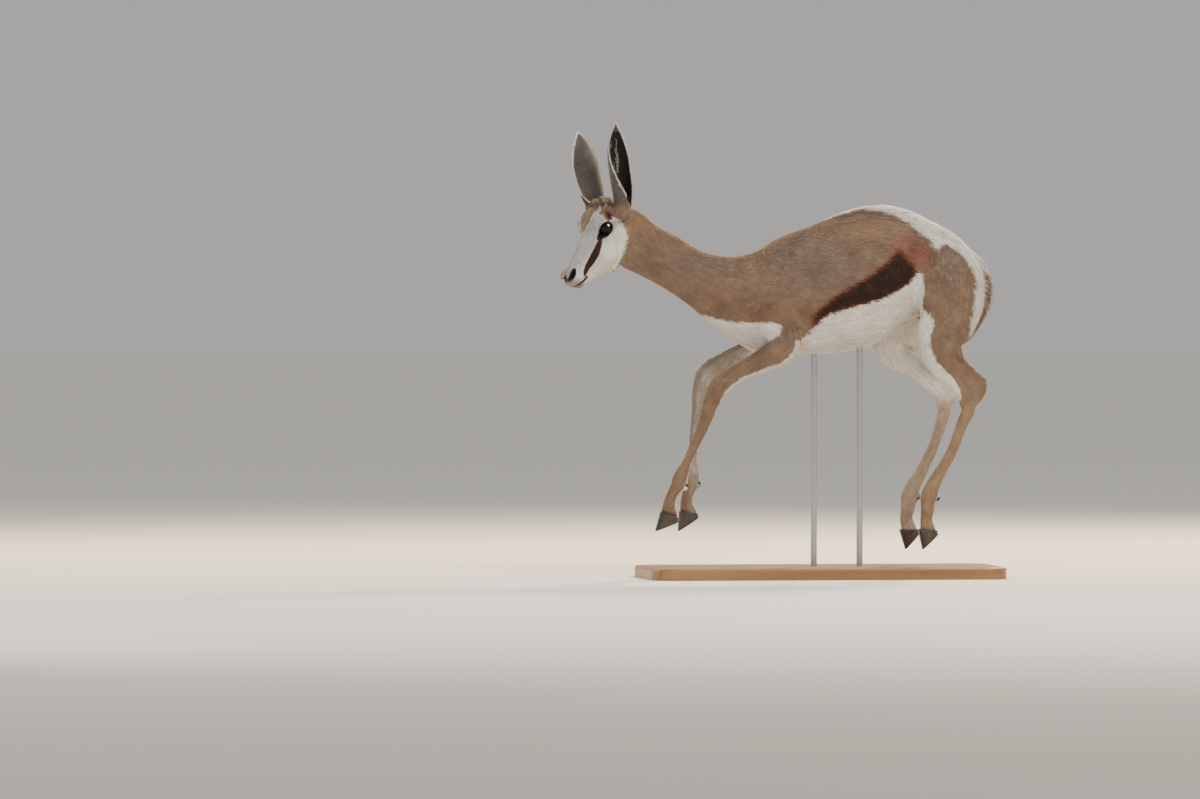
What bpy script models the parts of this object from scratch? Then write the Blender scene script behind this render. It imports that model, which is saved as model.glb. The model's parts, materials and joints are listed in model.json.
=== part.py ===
"""A young springbok in the air at the top of a leap, life size, as a still museum model.

It faces -X, its left side is -Y and +Z is up. The origin is the centre of the underside
of the display stand. Tables are in millimetres and are turned into metres by MM.
"""
import math
import bmesh
import bpy
import numpy as np
from mathutils import Vector

MM = 0.001
GAP = 0.3                      # clearance between touching pieces
ACROSS = np.array([0.0, 1.0, 0.0])

# Display stand
BASE_LENGTH = 680.0
BASE_WIDTH = 300.0
BASE_THICKNESS = 22.0
BASE_CORNER = 40.0
BASE_EDGE_BEVEL = 4.0
ROD_RADIUS = 6.0
ROD_STATIONS = (-12.0, 76.0)   # where the rods stand along the base
ROD_SOCKET_BOTTOM = 12.0       # depth that a rod goes into the base
ROD_INTO_BODY = 45.0
BELLY_HEIGHT = 427.0

# Trunk and neck: top x, top z, bottom x, bottom z, half width, egg (wider below if positive)
TRUNK = (
    (-392, 704, -404, 606, 27, 0.10),
    (-352, 700, -378, 590, 30, 0.05),
    (-319, 675, -352, 578, 30, 0.00),
    (-265, 644, -304, 553, 31, 0.00),
    (-217, 618, -260, 524, 35, 0.05),
    (-171, 611, -218, 491, 45, 0.10),
    (-125, 620, -172, 457, 59, 0.10),
    (-86, 643, -131, 431, 69, 0.00),
    (-23, 667, -55, 425, 80, -0.02),
    (45, 693, 38, 430, 88, 0.06),
    (86, 703, 86, 438, 87, 0.10),
    (124, 705, 120, 455, 82, 0.10),
    (163, 697, 150, 480, 76, 0.05),
    (213, 675, 195, 497, 70, 0.00),
    (262, 646, 242, 496, 62, 0.05),
    (292, 614, 278, 492, 50, 0.10),
    (309, 584, 300, 520, 26, 0.10),
)

# Limb stations: centre x, y, z, then depth front to back and width across.
# The girths are the same on both sides of the animal.
FORE_GIRTH = (
    (64, 44), (60, 46), (44, 38), (37, 29), (38, 30), (33, 27), (25, 21), (20, 18),
    (19, 17), (29, 25), (29, 25), (24, 21), (26, 23), (33, 27),
)
FORE_LEFT = (
    (-72, -54, 474), (-84, -59, 436), (-122, -59, 412), (-170, -57, 388), (-198, -56, 367),
    (-213, -55, 343), (-227, -54, 302), (-251, -52, 248), (-264, -51, 219), (-274, -50, 197),
    (-279, -50, 179), (-290, -49, 160), (-296, -48, 141), (-297, -48, 118),
)
FORE_RIGHT = (
    (-62, 54, 490), (-77, 62, 457), (-112, 64, 438), (-166, 60, 414), (-207, 55, 388),
    (-220, 53, 361), (-226, 52, 322), (-234, 50, 262), (-237, 49, 222), (-239, 48, 197),
    (-241, 48, 179), (-246, 47, 160), (-249, 46, 141), (-246, 46, 120),
)
HIND_GIRTH = (
    (84, 34), (136, 62), (137, 60), (112, 50), (88, 42), (60, 32), (40, 25), (29, 24),
    (33, 26), (27, 24), (24, 20), (22, 18), (24, 19), (29, 24), (33, 26), (28, 21),
    (26, 22), (31, 26),
)
HIND_LEFT = (
    (208, -34, 622), (227, -50, 580), (238, -57, 532), (233, -62, 488), (218, -65, 452),
    (220, -65, 414), (238, -63, 386), (259, -60, 363), (273, -58, 340), (276, -57, 321),
    (266, -57, 297), (242, -55, 235), (224, -54, 204), (210, -53, 178), (202, -52, 156),
    (199, -52, 130), (197, -52, 108), (199, -52, 88),
)
HIND_RIGHT = (
    (208, 34, 614), (207, 50, 568), (190, 57, 514), (168, 62, 476), (147, 64, 447),
    (154, 64, 424), (183, 62, 402), (213, 58, 376), (248, 55, 342), (249, 54, 320),
    (243, 54, 294), (222, 53, 237), (204, 52, 200), (188, 51, 172), (181, 50, 154),
    (177, 50, 128), (175, 50, 108), (180, 50, 86),
)
SHOULDER = (                   # on the left; the right is its mirror
    (-36, -40, 606, 60, 30), (-66, -53, 556, 88, 40), (-94, -56, 508, 88, 44),
    (-88, -56, 478, 70, 46), (-78, -56, 460, 50, 40),
)
TENDON_LEFT = (
    (246, -66, 446, 30, 22), (262, -64, 416, 12, 14), (288, -60, 390, 9, 10),
    (306, -58, 371, 11, 13), (300, -57, 354, 20, 17), (284, -57, 336, 24, 20),
)
TENDON_RIGHT = (
    (196, 66, 452, 34, 22), (216, 62, 430, 13, 14), (256, 58, 398, 9, 10),
    (282, 56, 372, 11, 13), (276, 55, 355, 20, 17), (260, 54, 338, 24, 20),
)
WEB_LEFT = (                   # thin skin between the big tendon and the shin
    (228, -65, 436, 40, 10), (262, -62, 398, 34, 8), (286, -59, 370, 30, 9), (292, -58, 352, 30, 12),
)
WEB_RIGHT = (
    (176, 65, 444, 40, 10), (222, 62, 412, 34, 8), (264, 57, 371, 30, 9), (268, 55, 353, 30, 12),
)
TAIL = (
    (278, 0, 619, 18, 20), (305, 0, 594, 18, 18), (318, 0, 552, 16, 17),
    (314, 0, 512, 14, 17), (300, 0, 478, 12, 16), (286, 0, 456, 8, 10),
)

# Head, in its own frame: a runs from the eyes to the nose, b is up, c is to its left.
HEAD_ORIGIN = (-431.6, -20.0, 663.3)
HEAD_YAW = math.radians(32.0)
HEAD_PITCH = math.radians(45.0)
SKULL = (                      # a, top b, bottom b, half width, egg
    (-66, 14, -30, 20, 0.0), (-48, 30, -52, 30, 0.0), (-28, 36, -68, 33, -0.1),
    (-5, 32, -80, 32, -0.2), (15, 25, -82, 29, -0.25), (35, 17, -78, 24, -0.2),
    (58, 11, -68, 19.5, -0.1), (80, 5, -58, 17.5, 0.0), (98, 0, -52, 18, 0.05),
    (110, -5, -45, 17.0, 0.05), (118, -11, -39, 13.0, 0.0), (122, -18, -32, 7, 0.0),
)
EYE_CENTRE = (-5.0, 1.5, 21.5)
EYE_TURN = math.radians(30.0)  # how far the eye looks forward of sideways
EYE_RADIUS = 15.0
LID_RADIUS = 17.4
LID_OPENING = (14.6, 13.0)     # half length and half height of the opening
EAR_ROOT = (-49.0, -3.0, 33.0)
EAR_LENGTH = 168.0
EAR_AXES = {"left": (-0.088, -0.07, 0.994), "right": (-0.19, 0.41, 0.884)}
EAR_OPENING_TURN = {"left": math.radians(10.0), "right": math.radians(-18.0)}
EAR_THICKNESS = 2.4
EAR_BOW = 8.0                  # how far the middle of an ear stands outward of a straight line
HORN_BASE = (-30.0, 33.0, 21.0)
HORN_RADIUS = 5.2
HORN_LENGTH = 24.0
NOSTRIL_INNER = (124.0, -18.0, 4.5)
NOSTRIL_OUTER = (101.0, -9.0, 17.0)
NOSTRIL_BOW = 6.0              # how far its middle stands outward of a straight line
MOUTH_CORNER = (87.0, -38.5, 19.0)
MOUTH_FRONT = (126.0, -31.0, 0.0)

# Planes that part the body: a point, and the direction from the body outward
NECK_CUT = ((-150, 0, 560), (-0.86, 0, 0.30))
HEAD_CUT = ((-372, -4, 645), (-0.93, -0.10, 0.30))
LOWER_FORE_CUTS = (("cannon", 5.0, 12.0), ("foot", 8.4, 12.0))
LOWER_HIND_CUTS = (("cannon", 9.4, 12.0), ("foot", 12.5, 12.0))
LIMB_CUTS = {                  # station along the limb, and the slab's margin round it
    "fore_left": (("upper", 1.9, 26.0), *LOWER_FORE_CUTS),
    "fore_right": (("upper", 2.5, 26.0), *LOWER_FORE_CUTS),
    "hind_left": (("upper", 4.6, 45.0), *LOWER_HIND_CUTS),
    "hind_right": (("upper", 4.6, 60.0), *LOWER_HIND_CUTS),
}
HOOF_TILT = {"fore_left": 20.0, "fore_right": 8.0, "hind_left": 5.0, "hind_right": 0.0}
HOOF_DROP = 35.0               # crown to toe tip along the front wall
HOOF_BACK = 37.0               # crown, front to back
CLAW_WIDTH = 13.0
CLAW_SPREAD = 1.2              # half the cleft between the two claws

BODY_VOXEL = 3.6
HEAD_VOXEL = 1.7
BODY_FACES = 5600
HEAD_FACES = 2400


def material(name, colour, roughness, metallic=0.0):
    """A plain finish for one kind of surface."""
    made = bpy.data.materials.new(name)
    made.use_nodes = True
    shader = made.node_tree.nodes["Principled BSDF"]
    shader.inputs["Base Color"].default_value = (*colour, 1.0)
    shader.inputs["Roughness"].default_value = roughness
    shader.inputs["Metallic"].default_value = metallic
    return made


def spline(rows, steps):
    """A smooth curve through rows of numbers, evenly paced by the first three columns."""
    rows = np.array(rows, dtype=float)
    span = np.linalg.norm(np.diff(rows[:, :3], axis=0), axis=1)
    pace = np.concatenate([[0.0], np.cumsum(span)])
    slope = np.gradient(rows, pace, axis=0)
    curve = []
    for i in range(len(rows) - 1):
        reach = pace[i + 1] - pace[i]
        for t in np.arange(steps) / steps:
            start = (1 + 2 * t) * (1 - t) ** 2 * rows[i] + t * (1 - t) ** 2 * reach * slope[i]
            end = t * t * (3 - 2 * t) * rows[i + 1] + t * t * (t - 1) * reach * slope[i + 1]
            curve.append(start + end)
    curve.append(rows[-1])
    return np.array(curve)


def place(name, vertices, faces, finish=None):
    """A new object from points in millimetres."""
    mesh = bpy.data.meshes.new(name)
    mesh.from_pydata([tuple(v) for v in np.array(vertices, dtype=float) * MM], [], faces)
    made = bpy.data.objects.new(name, mesh)
    bpy.context.scene.collection.objects.link(made)
    shape = bmesh.new()
    shape.from_mesh(mesh)
    bmesh.ops.recalc_face_normals(shape, faces=shape.faces)
    shape.to_mesh(mesh)
    shape.free()
    if finish:
        mesh.materials.append(finish)
    return made


def ring(centre, half_depth, half_width, egg=0.0, sides=28):
    """An egg-shaped section; half_depth and half_width are vectors in its plane."""
    turn = np.linspace(0.0, 2 * math.pi, sides, endpoint=False)
    up = np.cos(turn)
    across = np.sin(turn) * (1 - egg * up)
    return centre + np.outer(up, half_depth) + np.outer(across, half_width)


def skin_over(name, rings, finish=None):
    """A closed solid whose surface runs over a row of sections."""
    sides = len(rings[0])
    faces = []
    for row in range(len(rings) - 1):
        low = row * sides
        for k in range(sides):
            after = (k + 1) % sides
            faces.append((low + k, low + after, low + sides + after, low + sides + k))
    faces.append(tuple(range(sides)))
    faces.append(tuple(range((len(rings) - 1) * sides, len(rings) * sides)))
    return place(name, np.vstack(rings), faces, finish)


def trunk(name):
    """Neck, chest, belly and rump in one run of sections."""
    rings = []
    for tx, tz, bx, bz, half, egg in spline([(r[0], r[1], r[2], *r[3:]) for r in TRUNK], 4):
        top = np.array([tx, 0.0, tz])
        bottom = np.array([bx, 0.0, bz])
        rings.append(ring((top + bottom) / 2, (top - bottom) / 2, ACROSS * half, egg, 36))
    return skin_over(name, rings)


def limb_rings(stations, steps=4, sides=20):
    """Sections square to a limb's centre line; stations hold x, y, z, depth, width."""
    rows = spline(stations, steps)
    tangent = np.gradient(rows[:, :3], axis=0)
    rings = []
    for row, ahead in zip(rows, tangent):
        front = np.cross(ahead, ACROSS)
        front /= np.linalg.norm(front)
        rings.append(ring(row[:3], front * row[3] / 2, ACROSS * row[4] / 2, 0.0, sides))
    return rings


def limb(name, stations):
    return skin_over(name, limb_rings(stations))


def with_girth(centres, girths):
    return [(*centre, *girth) for centre, girth in zip(centres, girths)]


def blob(name, centre, radii, turn=None):
    """An ellipsoid; turn is a 3 x 3 matrix that sets its axes."""
    shape = bmesh.new()
    bmesh.ops.create_uvsphere(shape, u_segments=24, v_segments=16, radius=1.0)
    points = np.array([v.co[:] for v in shape.verts]) * np.array(radii, dtype=float)
    faces = [tuple(v.index for v in f.verts) for f in shape.faces]
    shape.free()
    if turn is not None:
        points = points @ np.array(turn).T
    return place(name, points + np.array(centre, dtype=float), faces)


def evaluated(thing):
    """Bake an object's modifiers into its mesh."""
    graph = bpy.context.evaluated_depsgraph_get()
    mesh = bpy.data.meshes.new_from_object(thing.evaluated_get(graph))
    thing.modifiers.clear()
    old = thing.data
    thing.data = mesh
    bpy.data.meshes.remove(old)
    return thing


def joined(name, things):
    """One object that holds the surfaces of many."""
    shape = bmesh.new()
    for thing in things:
        shape.from_mesh(thing.data)
        bpy.data.objects.remove(thing)
    mesh = bpy.data.meshes.new(name)
    shape.to_mesh(mesh)
    shape.free()
    made = bpy.data.objects.new(name, mesh)
    bpy.context.scene.collection.objects.link(made)
    return made


def fused(name, things, voxel, faces, fairing):
    """Grow overlapping solids into one smooth skin and thin out its faces."""
    made = joined(name, things)
    remesh = made.modifiers.new("fuse", "REMESH")
    remesh.mode = "VOXEL"
    remesh.voxel_size = voxel * MM
    evaluated(made)
    fair = made.modifiers.new("fair", "SMOOTH")
    fair.factor = 0.5
    fair.iterations = fairing
    evaluated(made)
    thin = made.modifiers.new("thin", "DECIMATE")
    thin.ratio = faces / (2.0 * len(made.data.polygons))
    return evaluated(made)


def cut(thing, cutters, operation="DIFFERENCE"):
    """Take a group of cutters from an object, or keep what lies in them."""
    for cutter in cutters:
        step = thing.modifiers.new("cut", "BOOLEAN")
        step.operation = operation
        step.solver = "EXACT"
        step.object = cutter
        evaluated(thing)
        bpy.data.objects.remove(cutter)
    return thing


def box(name, centre, normal, along, across, thick):
    """A slab whose thin way is normal; along and across are its half sizes."""
    n = Vector(normal).normalized()
    side = Vector((0, 1, 0)) - n * n.y
    side.normalize()
    front = side.cross(n)
    vertices = []
    for i in (-1, 1):
        for j in (-1, 1):
            for k in (-1, 1):
                vertices.append(Vector(centre) + front * along * i + side * across * j + n * thick * k)
    faces = [(0, 1, 3, 2), (4, 6, 7, 5), (0, 4, 5, 1), (2, 3, 7, 6), (0, 2, 6, 4), (1, 5, 7, 3)]
    return place(name, vertices, faces)


def loose_parts(thing):
    """Split an object into its separate closed surfaces, largest first."""
    shape = bmesh.new()
    shape.from_mesh(thing.data)
    bmesh.ops.triangulate(shape, faces=shape.faces)
    shape.verts.ensure_lookup_table()
    unseen = set(range(len(shape.verts)))
    groups = []
    while unseen:
        stack = [unseen.pop()]
        group = []
        while stack:
            here = stack.pop()
            group.append(here)
            for edge in shape.verts[here].link_edges:
                there = edge.other_vert(shape.verts[here]).index
                if there in unseen:
                    unseen.discard(there)
                    stack.append(there)
        groups.append(sorted(group))
    groups.sort(key=len, reverse=True)
    parts = []
    for group in groups:
        number = {v: i for i, v in enumerate(group)}
        points = np.array([shape.verts[v].co[:] for v in group]) / MM
        faces = [tuple(number[v.index] for v in f.verts) for f in shape.faces if f.verts[0].index in number]
        parts.append((points, faces))
    shape.free()
    return parts


def keep_largest(thing):
    """Drop the scraps and sealed hollows that a union or a cut leaves."""
    points, faces = loose_parts(thing)[0]
    finish = thing.data.materials[0] if thing.data.materials else None
    name = thing.name
    bpy.data.objects.remove(thing)
    return place(name, points, faces, finish)


def head_frame():
    """The head's own axes as columns: forward to the nose, up, and to its left."""
    level = np.array([-math.cos(HEAD_YAW), -math.sin(HEAD_YAW), 0.0])
    upright = np.array([0.0, 0.0, 1.0])
    forward = math.cos(HEAD_PITCH) * level - math.sin(HEAD_PITCH) * upright
    up = math.sin(HEAD_PITCH) * level + math.cos(HEAD_PITCH) * upright
    left = np.array([math.sin(HEAD_YAW), -math.cos(HEAD_YAW), 0.0])
    return np.column_stack([forward, up, left])


HEAD_AXES = head_frame()


def on_head(point):
    """A point of the head's own frame in the model's frame."""
    return np.array(HEAD_ORIGIN) + HEAD_AXES @ np.array(point, dtype=float)


def head_rings():
    rings = []
    for a, top, bottom, half, egg in spline([(r[0], r[1], r[2], *r[3:]) for r in SKULL], 4):
        centre = on_head((a, (top + bottom) / 2, 0.0))
        rings.append(ring(centre, HEAD_AXES[:, 1] * (top - bottom) / 2, HEAD_AXES[:, 2] * half, egg, 32))
    return rings


def head_blob(name, centre, radii):
    return blob(name, on_head(centre), radii, HEAD_AXES)


def mirrored(point, side):
    """A point on the head's left, or its twin on the right."""
    a, b, c = point
    return (a, b, c if side == "left" else -c)


def head_solid():
    """Skull, cheeks, brows, nose and lips in one skin, with sockets, nostrils and mouth cut."""
    pieces = [skin_over("skull", head_rings()), trunk("nape")]
    for side in ("left", "right"):
        pieces.append(head_blob("brow", mirrored((-3, 4, 18), side), (25, 22, 16)))
        pieces.append(head_blob("forehead", mirrored((-10, 11, 15), side), (25, 22, 17)))
        pieces.append(head_blob("lids", mirrored(EYE_CENTRE, side), (LID_RADIUS,) * 3))
        pieces.append(head_blob("cheek", mirrored((10, -42, 14), side), (32, 28, 14)))
        pieces.append(head_blob("nose wing", mirrored((110, -12, 9), side), (13, 9, 9)))
        pieces.append(head_blob("upper lip", mirrored((106, -28, 9), side), (17, 9, 10)))
        pieces.append(head_blob("ear root", mirrored((-47, 0, 29), side), (18, 17, 14)))
        pieces.append(head_blob("horn root", mirrored((-29, 30, 21), side), (9, 6, 9)))
    pieces.append(head_blob("chin", (102, -43, 0), (13, 7, 11)))
    pieces.append(head_blob("throat", (9, -70, 0), (31, 21, 17)))
    head = fused("head", pieces, HEAD_VOXEL, HEAD_FACES * 2.2, 3)
    nape = box("nape cutter", *shifted(HEAD_CUT, GAP / 2, 300), 300, 300, 300)
    head = cut(head, [nape], "INTERSECT")
    thin = head.modifiers.new("thin", "DECIMATE")
    thin.ratio = HEAD_FACES / len(head.data.polygons)
    evaluated(head)
    cutters = [mouth_cutter()]
    for side in ("left", "right"):
        cutters.append(head_blob("socket", mirrored(EYE_CENTRE, side), (EYE_RADIUS + GAP,) * 3))
        cutters.append(lid_cutter(side))
        cutters.append(nostril_cutter(side))
        cutters.append(ear_seat_cutter(side))
        cutters.append(horn_seat_cutter(side))
    return keep_largest(cut(head, cutters))


def shifted(plane, offset, depth):
    """Centre and direction of a deep block whose near face lies offset past a plane."""
    point, normal = plane
    n = np.array(normal, dtype=float)
    n /= np.linalg.norm(n)
    return np.array(point, dtype=float) + n * (offset + depth), n


def lid_cutter(side):
    """An almond drawn out to the tear duct, swept outward from the eye."""
    out = 1.0 if side == "left" else -1.0
    gaze = np.array([math.sin(EYE_TURN), 0.06, out * math.cos(EYE_TURN)])
    along = np.array([math.cos(EYE_TURN), -0.10, -out * math.sin(EYE_TURN)])
    above = np.array([0.10, 1.0, 0.0])
    half_long, half_high = LID_OPENING
    rings = []
    for reach, grow in ((5.0, 0.74), (24.0, 1.36)):
        points = []
        for turn in np.linspace(0.0, 2 * math.pi, 24, endpoint=False):
            duct = 9.0 * max(0.0, math.cos(turn)) ** 6
            ahead = grow * (half_long * math.cos(turn) + duct)
            high = grow * half_high * math.sin(turn)
            here = np.array(mirrored(EYE_CENTRE, side)) + gaze * reach + along * ahead + above * high
            points.append(on_head(here))
        rings.append(np.array(points))
    return skin_over("lid cutter", rings)


def nostril_cutter(side):
    """A comma that opens forward and climbs outward."""
    rows = []
    for t in np.linspace(0.0, 1.0, 7):
        point = (1 - t) * np.array(NOSTRIL_INNER) + t * np.array(NOSTRIL_OUTER)
        point[1] += 2.0 * math.sin(math.pi * t)
        point[2] += NOSTRIL_BOW * math.sin(math.pi * t)
        rows.append((point, 1.4 + 2.6 * math.sin(math.pi * min(1.0, t + 0.12))))
    rings = []
    for point, radius in rows:
        here = on_head(mirrored(tuple(point), side))
        rings.append(ring(here, HEAD_AXES[:, 1] * radius, HEAD_AXES[:, 2] * radius * 1.1, 0.0, 10))
    return skin_over("nostril cutter", rings)


def mouth_cutter():
    """A thin bent blade that leaves the line of the mouth."""
    corner = np.array(MOUTH_CORNER)
    front = np.array(MOUTH_FRONT)
    rings = []
    for turn in np.linspace(-math.pi / 2, math.pi / 2, 17):
        bend = abs(math.sin(turn)) ** 1.6
        a = corner[0] + (front[0] - corner[0]) * math.cos(turn)
        b = front[1] + (corner[1] - front[1]) * bend
        c = corner[2] * 1.02 * math.sin(turn)
        inward = np.array([-math.cos(turn), 0.0, -math.sin(turn)])
        centre = on_head((a, b, c))
        depth = HEAD_AXES @ inward * 3.4
        rings.append(ring(centre, depth, HEAD_AXES[:, 1] * 0.8, 0.0, 8))
    return skin_over("mouth cutter", rings)


def ear_frame(side):
    """The ear's length, its opening direction and the way across it."""
    length = np.array(EAR_AXES[side])
    length /= np.linalg.norm(length)
    level = np.array([-math.cos(HEAD_YAW), -math.sin(HEAD_YAW), 0.0])
    outward = HEAD_AXES[:, 2] if side == "left" else -HEAD_AXES[:, 2]
    turn = EAR_OPENING_TURN[side]
    opening = outward * math.cos(turn) + level * math.sin(turn)
    opening -= length * opening.dot(length)
    opening /= np.linalg.norm(opening)
    return length, opening, np.cross(length, opening)


# Ear stations: share of the length, half width seen, half angle of the curl in degrees
EAR_PROFILE = (
    (0.0, 15.5, 158), (0.14, 18.0, 142), (0.30, 21.0, 112), (0.45, 23.0, 92), (0.60, 22.5, 80),
    (0.74, 18.5, 70), (0.87, 11.0, 62), (0.96, 4.4, 56), (1.0, 1.2, 50),
)


def ear(side, finish):
    """A leaf rolled into a cup, on a solid root with a flat foot."""
    length, opening, across = ear_frame(side)
    root = on_head(mirrored(EAR_ROOT, side))
    outward = HEAD_AXES[:, 2] if side == "left" else -HEAD_AXES[:, 2]
    rows = [(u * EAR_LENGTH, half, curl) for u, half, curl in EAR_PROFILE]
    columns = np.linspace(-1.0, 1.0, 11)
    outer = []
    inner = []
    for reach, half, curl in rows:
        bend = math.radians(curl)
        radius = half / math.sin(min(bend, math.pi / 2))
        for v in columns:
            angle = v * bend
            way = across * math.sin(angle) - opening * math.cos(angle)
            wall = min(EAR_THICKNESS * (0.6 + 0.4 * math.cos(v * math.pi / 2)), radius * 0.55)
            bow = outward * EAR_BOW * math.sin(math.pi * reach / EAR_LENGTH)
            centre = root + length * reach + bow
            outer.append(centre + way * radius)
            inner.append(centre + way * (radius - wall))
    wide = len(columns)
    high = len(rows)
    count = wide * high
    faces = []
    for i in range(high - 1):
        for j in range(wide - 1):
            k = i * wide + j
            faces.append((k, k + 1, k + wide + 1))
            faces.append((k, k + wide + 1, k + wide))
            faces.append((count + k, count + k + wide + 1, count + k + 1))
            faces.append((count + k, count + k + wide, count + k + wide + 1))
        for k in (i * wide, i * wide + wide - 1):
            faces.append((k, k + wide, count + k + wide, count + k))
    for j in range(wide - 1):
        for k in (j, (high - 1) * wide + j):
            faces.append((k, k + 1, count + k + 1, count + k))
    shell = place(f"ear_{side}", outer + inner, faces, finish)
    plug_rings = []
    for reach, radius in ((0.0, 16.6), (20.0, 16.0), (30.0, 12.0), (36.0, 5.0)):
        plug_rings.append(ring(root + length * reach, across * radius, opening * radius, 0.0, 20))
    plug = skin_over("ear plug", plug_rings)
    return keep_largest(cut(shell, [plug], "UNION"))


def ear_seat_cutter(side):
    """Clears the head away above the flat foot of the ear."""
    length, opening, across = ear_frame(side)
    root = on_head(mirrored(EAR_ROOT, side)) - length * GAP
    radius = EAR_PROFILE[1][1] + 1.2
    rings = [ring(root + length * reach, across * radius, opening * radius, 0.0, 28) for reach in (0.0, 60.0)]
    return skin_over("ear seat", rings)


def horn_frame(side):
    """Base point and direction of a horn bud."""
    lean = 0.20 if side == "left" else -0.20
    direction = HEAD_AXES @ np.array([-0.10, 0.97, lean])
    return on_head(mirrored(HORN_BASE, side)), direction / np.linalg.norm(direction)


def horn(side, finish):
    """A short blunt spike, the first growth of a horn."""
    base, up = horn_frame(side)
    rings = []
    for share, size in ((0.0, 1.0), (0.3, 0.86), (0.6, 0.62), (0.85, 0.34), (1.0, 0.10)):
        radius = HORN_RADIUS * size
        side_way = np.cross(up, HEAD_AXES[:, 0])
        rings.append(ring(base + up * HORN_LENGTH * share, HEAD_AXES[:, 0] * radius, side_way * radius, 0.0, 12))
    return skin_over(f"horn_{side}", rings, finish)


def horn_seat_cutter(side):
    base, up = horn_frame(side)
    radius = HORN_RADIUS + 0.8
    side_way = np.cross(up, HEAD_AXES[:, 0])
    low = base - up * GAP
    rings = [ring(low + up * reach, HEAD_AXES[:, 0] * radius, side_way * radius, 0.0, 14) for reach in (0.0, 30.0)]
    return skin_over("horn seat", rings)


def eye(side, finish):
    shape = bmesh.new()
    bmesh.ops.create_uvsphere(shape, u_segments=18, v_segments=12, radius=EYE_RADIUS)
    points = np.array([v.co[:] for v in shape.verts]) @ HEAD_AXES.T + on_head(mirrored(EYE_CENTRE, side))
    faces = [tuple(v.index for v in f.verts) for f in shape.faces]
    shape.free()
    return place(f"eye_{side}", points, faces, finish)


def leg_paths():
    """Every leg's stations, carried a little past the crown of the hoof."""
    centres = {
        "fore_left": (FORE_LEFT, FORE_GIRTH), "fore_right": (FORE_RIGHT, FORE_GIRTH),
        "hind_left": (HIND_LEFT, HIND_GIRTH), "hind_right": (HIND_RIGHT, HIND_GIRTH),
    }
    paths = {}
    for leg, (points, girths) in centres.items():
        rows = with_girth(points, girths)
        crown = np.array(points[-1], dtype=float)
        beyond = crown + hoof_frame(leg)[1] * 14.0
        paths[leg] = rows + [(*beyond, *girths[-1])]
    return paths


def hoof_frame(leg):
    """Directions to the front and down to the toe, in the crown's own plane and square to it."""
    tilt = math.radians(HOOF_TILT[leg])
    front = np.array([-math.cos(tilt), 0.0, math.sin(tilt)])
    down = np.array([-math.sin(tilt), 0.0, -math.cos(tilt)])
    return front, down


def claw(leg, inner, crown, finish):
    """Half of a cloven hoof: an upright front wall, a flat inner wall and a sole back to the heel."""
    front, down = hoof_frame(leg)
    body_side = -1.0 if leg.endswith("left") else 1.0
    way = -body_side if inner else body_side
    rings = []
    for t in (0.0, 0.35, 0.7, 1.0):
        toe = np.array([HOOF_BACK / 2 - 2.8 * t, HOOF_DROP * t])
        heel = np.array([-HOOF_BACK / 2 - 1.5 * math.sin(math.pi * t), 1.0 + 4.0 * t if t else 0.0])
        points = []
        for turn in np.linspace(0.0, math.pi, 9):
            share = (1 - math.cos(turn)) / 2
            bulge = CLAW_WIDTH * (1 - 0.3 * t * (1 - share)) * max(0.0, math.sin(turn)) ** 0.75
            points.append((share, CLAW_SPREAD + bulge))
        for share in (0.75, 0.5, 0.25):
            points.append((share, CLAW_SPREAD))
        section = []
        for share, out in points:
            f, d = toe + (heel - toe) * share
            section.append(crown + front * f + down * (d + GAP / 2) + ACROSS * way * out)
        rings.append(np.array(section))
    name = f"hoof_{leg}_{'inner' if inner else 'outer'}"
    return skin_over(name, rings, finish)


def dewclaws(leg, rows, index):
    """Two small blunt studs behind the fetlock."""
    front, down = hoof_frame(leg)
    x, y, z, depth, width = rows[index]
    made = []
    for way in (-1, 1):
        centre = np.array([x, y + way * width * 0.3, z]) - front * depth * 0.46
        made.append(blob("dewclaw", centre, (5.0, 4.5, 7.0)))
    return made


def tail_rings(spare=0.0):
    """Sections of the tail, or of the groove that stands clear of it by spare."""
    rings = limb_rings([(x, y, z, d + 2 * spare, w + 2 * spare) for x, y, z, d, w in TAIL], 3, 14)
    back = rings[0].mean(axis=0) - rings[1].mean(axis=0)
    rings[0] = rings[0] + back / np.linalg.norm(back) * spare
    return rings


def whole_body(paths):
    """Trunk, neck and legs as one skin."""
    pieces = [trunk("trunk")]
    for leg, rows in paths.items():
        pieces.append(limb(leg, rows))
        pieces += dewclaws(leg, rows, 10 if leg.startswith("fore") else 14)
    for way in (1, -1):
        pieces.append(limb("shoulder", [(x, y * way, z, d, w) for x, y, z, d, w in SHOULDER]))
    pieces.append(limb("tendon left", TENDON_LEFT))
    pieces.append(limb("tendon right", TENDON_RIGHT))
    pieces.append(limb("web left", WEB_LEFT))
    pieces.append(limb("web right", WEB_RIGHT))
    return fused("body", pieces, BODY_VOXEL, BODY_FACES, 5)


def station(rows, place_on_path):
    """Point and direction at a fractional station of a limb."""
    steps = 20
    fine = spline(rows, steps)
    k = int(round(place_on_path * steps))
    ahead = fine[k + 1, :3] - fine[k - 1, :3]
    return fine[k], ahead / np.linalg.norm(ahead)


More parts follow.
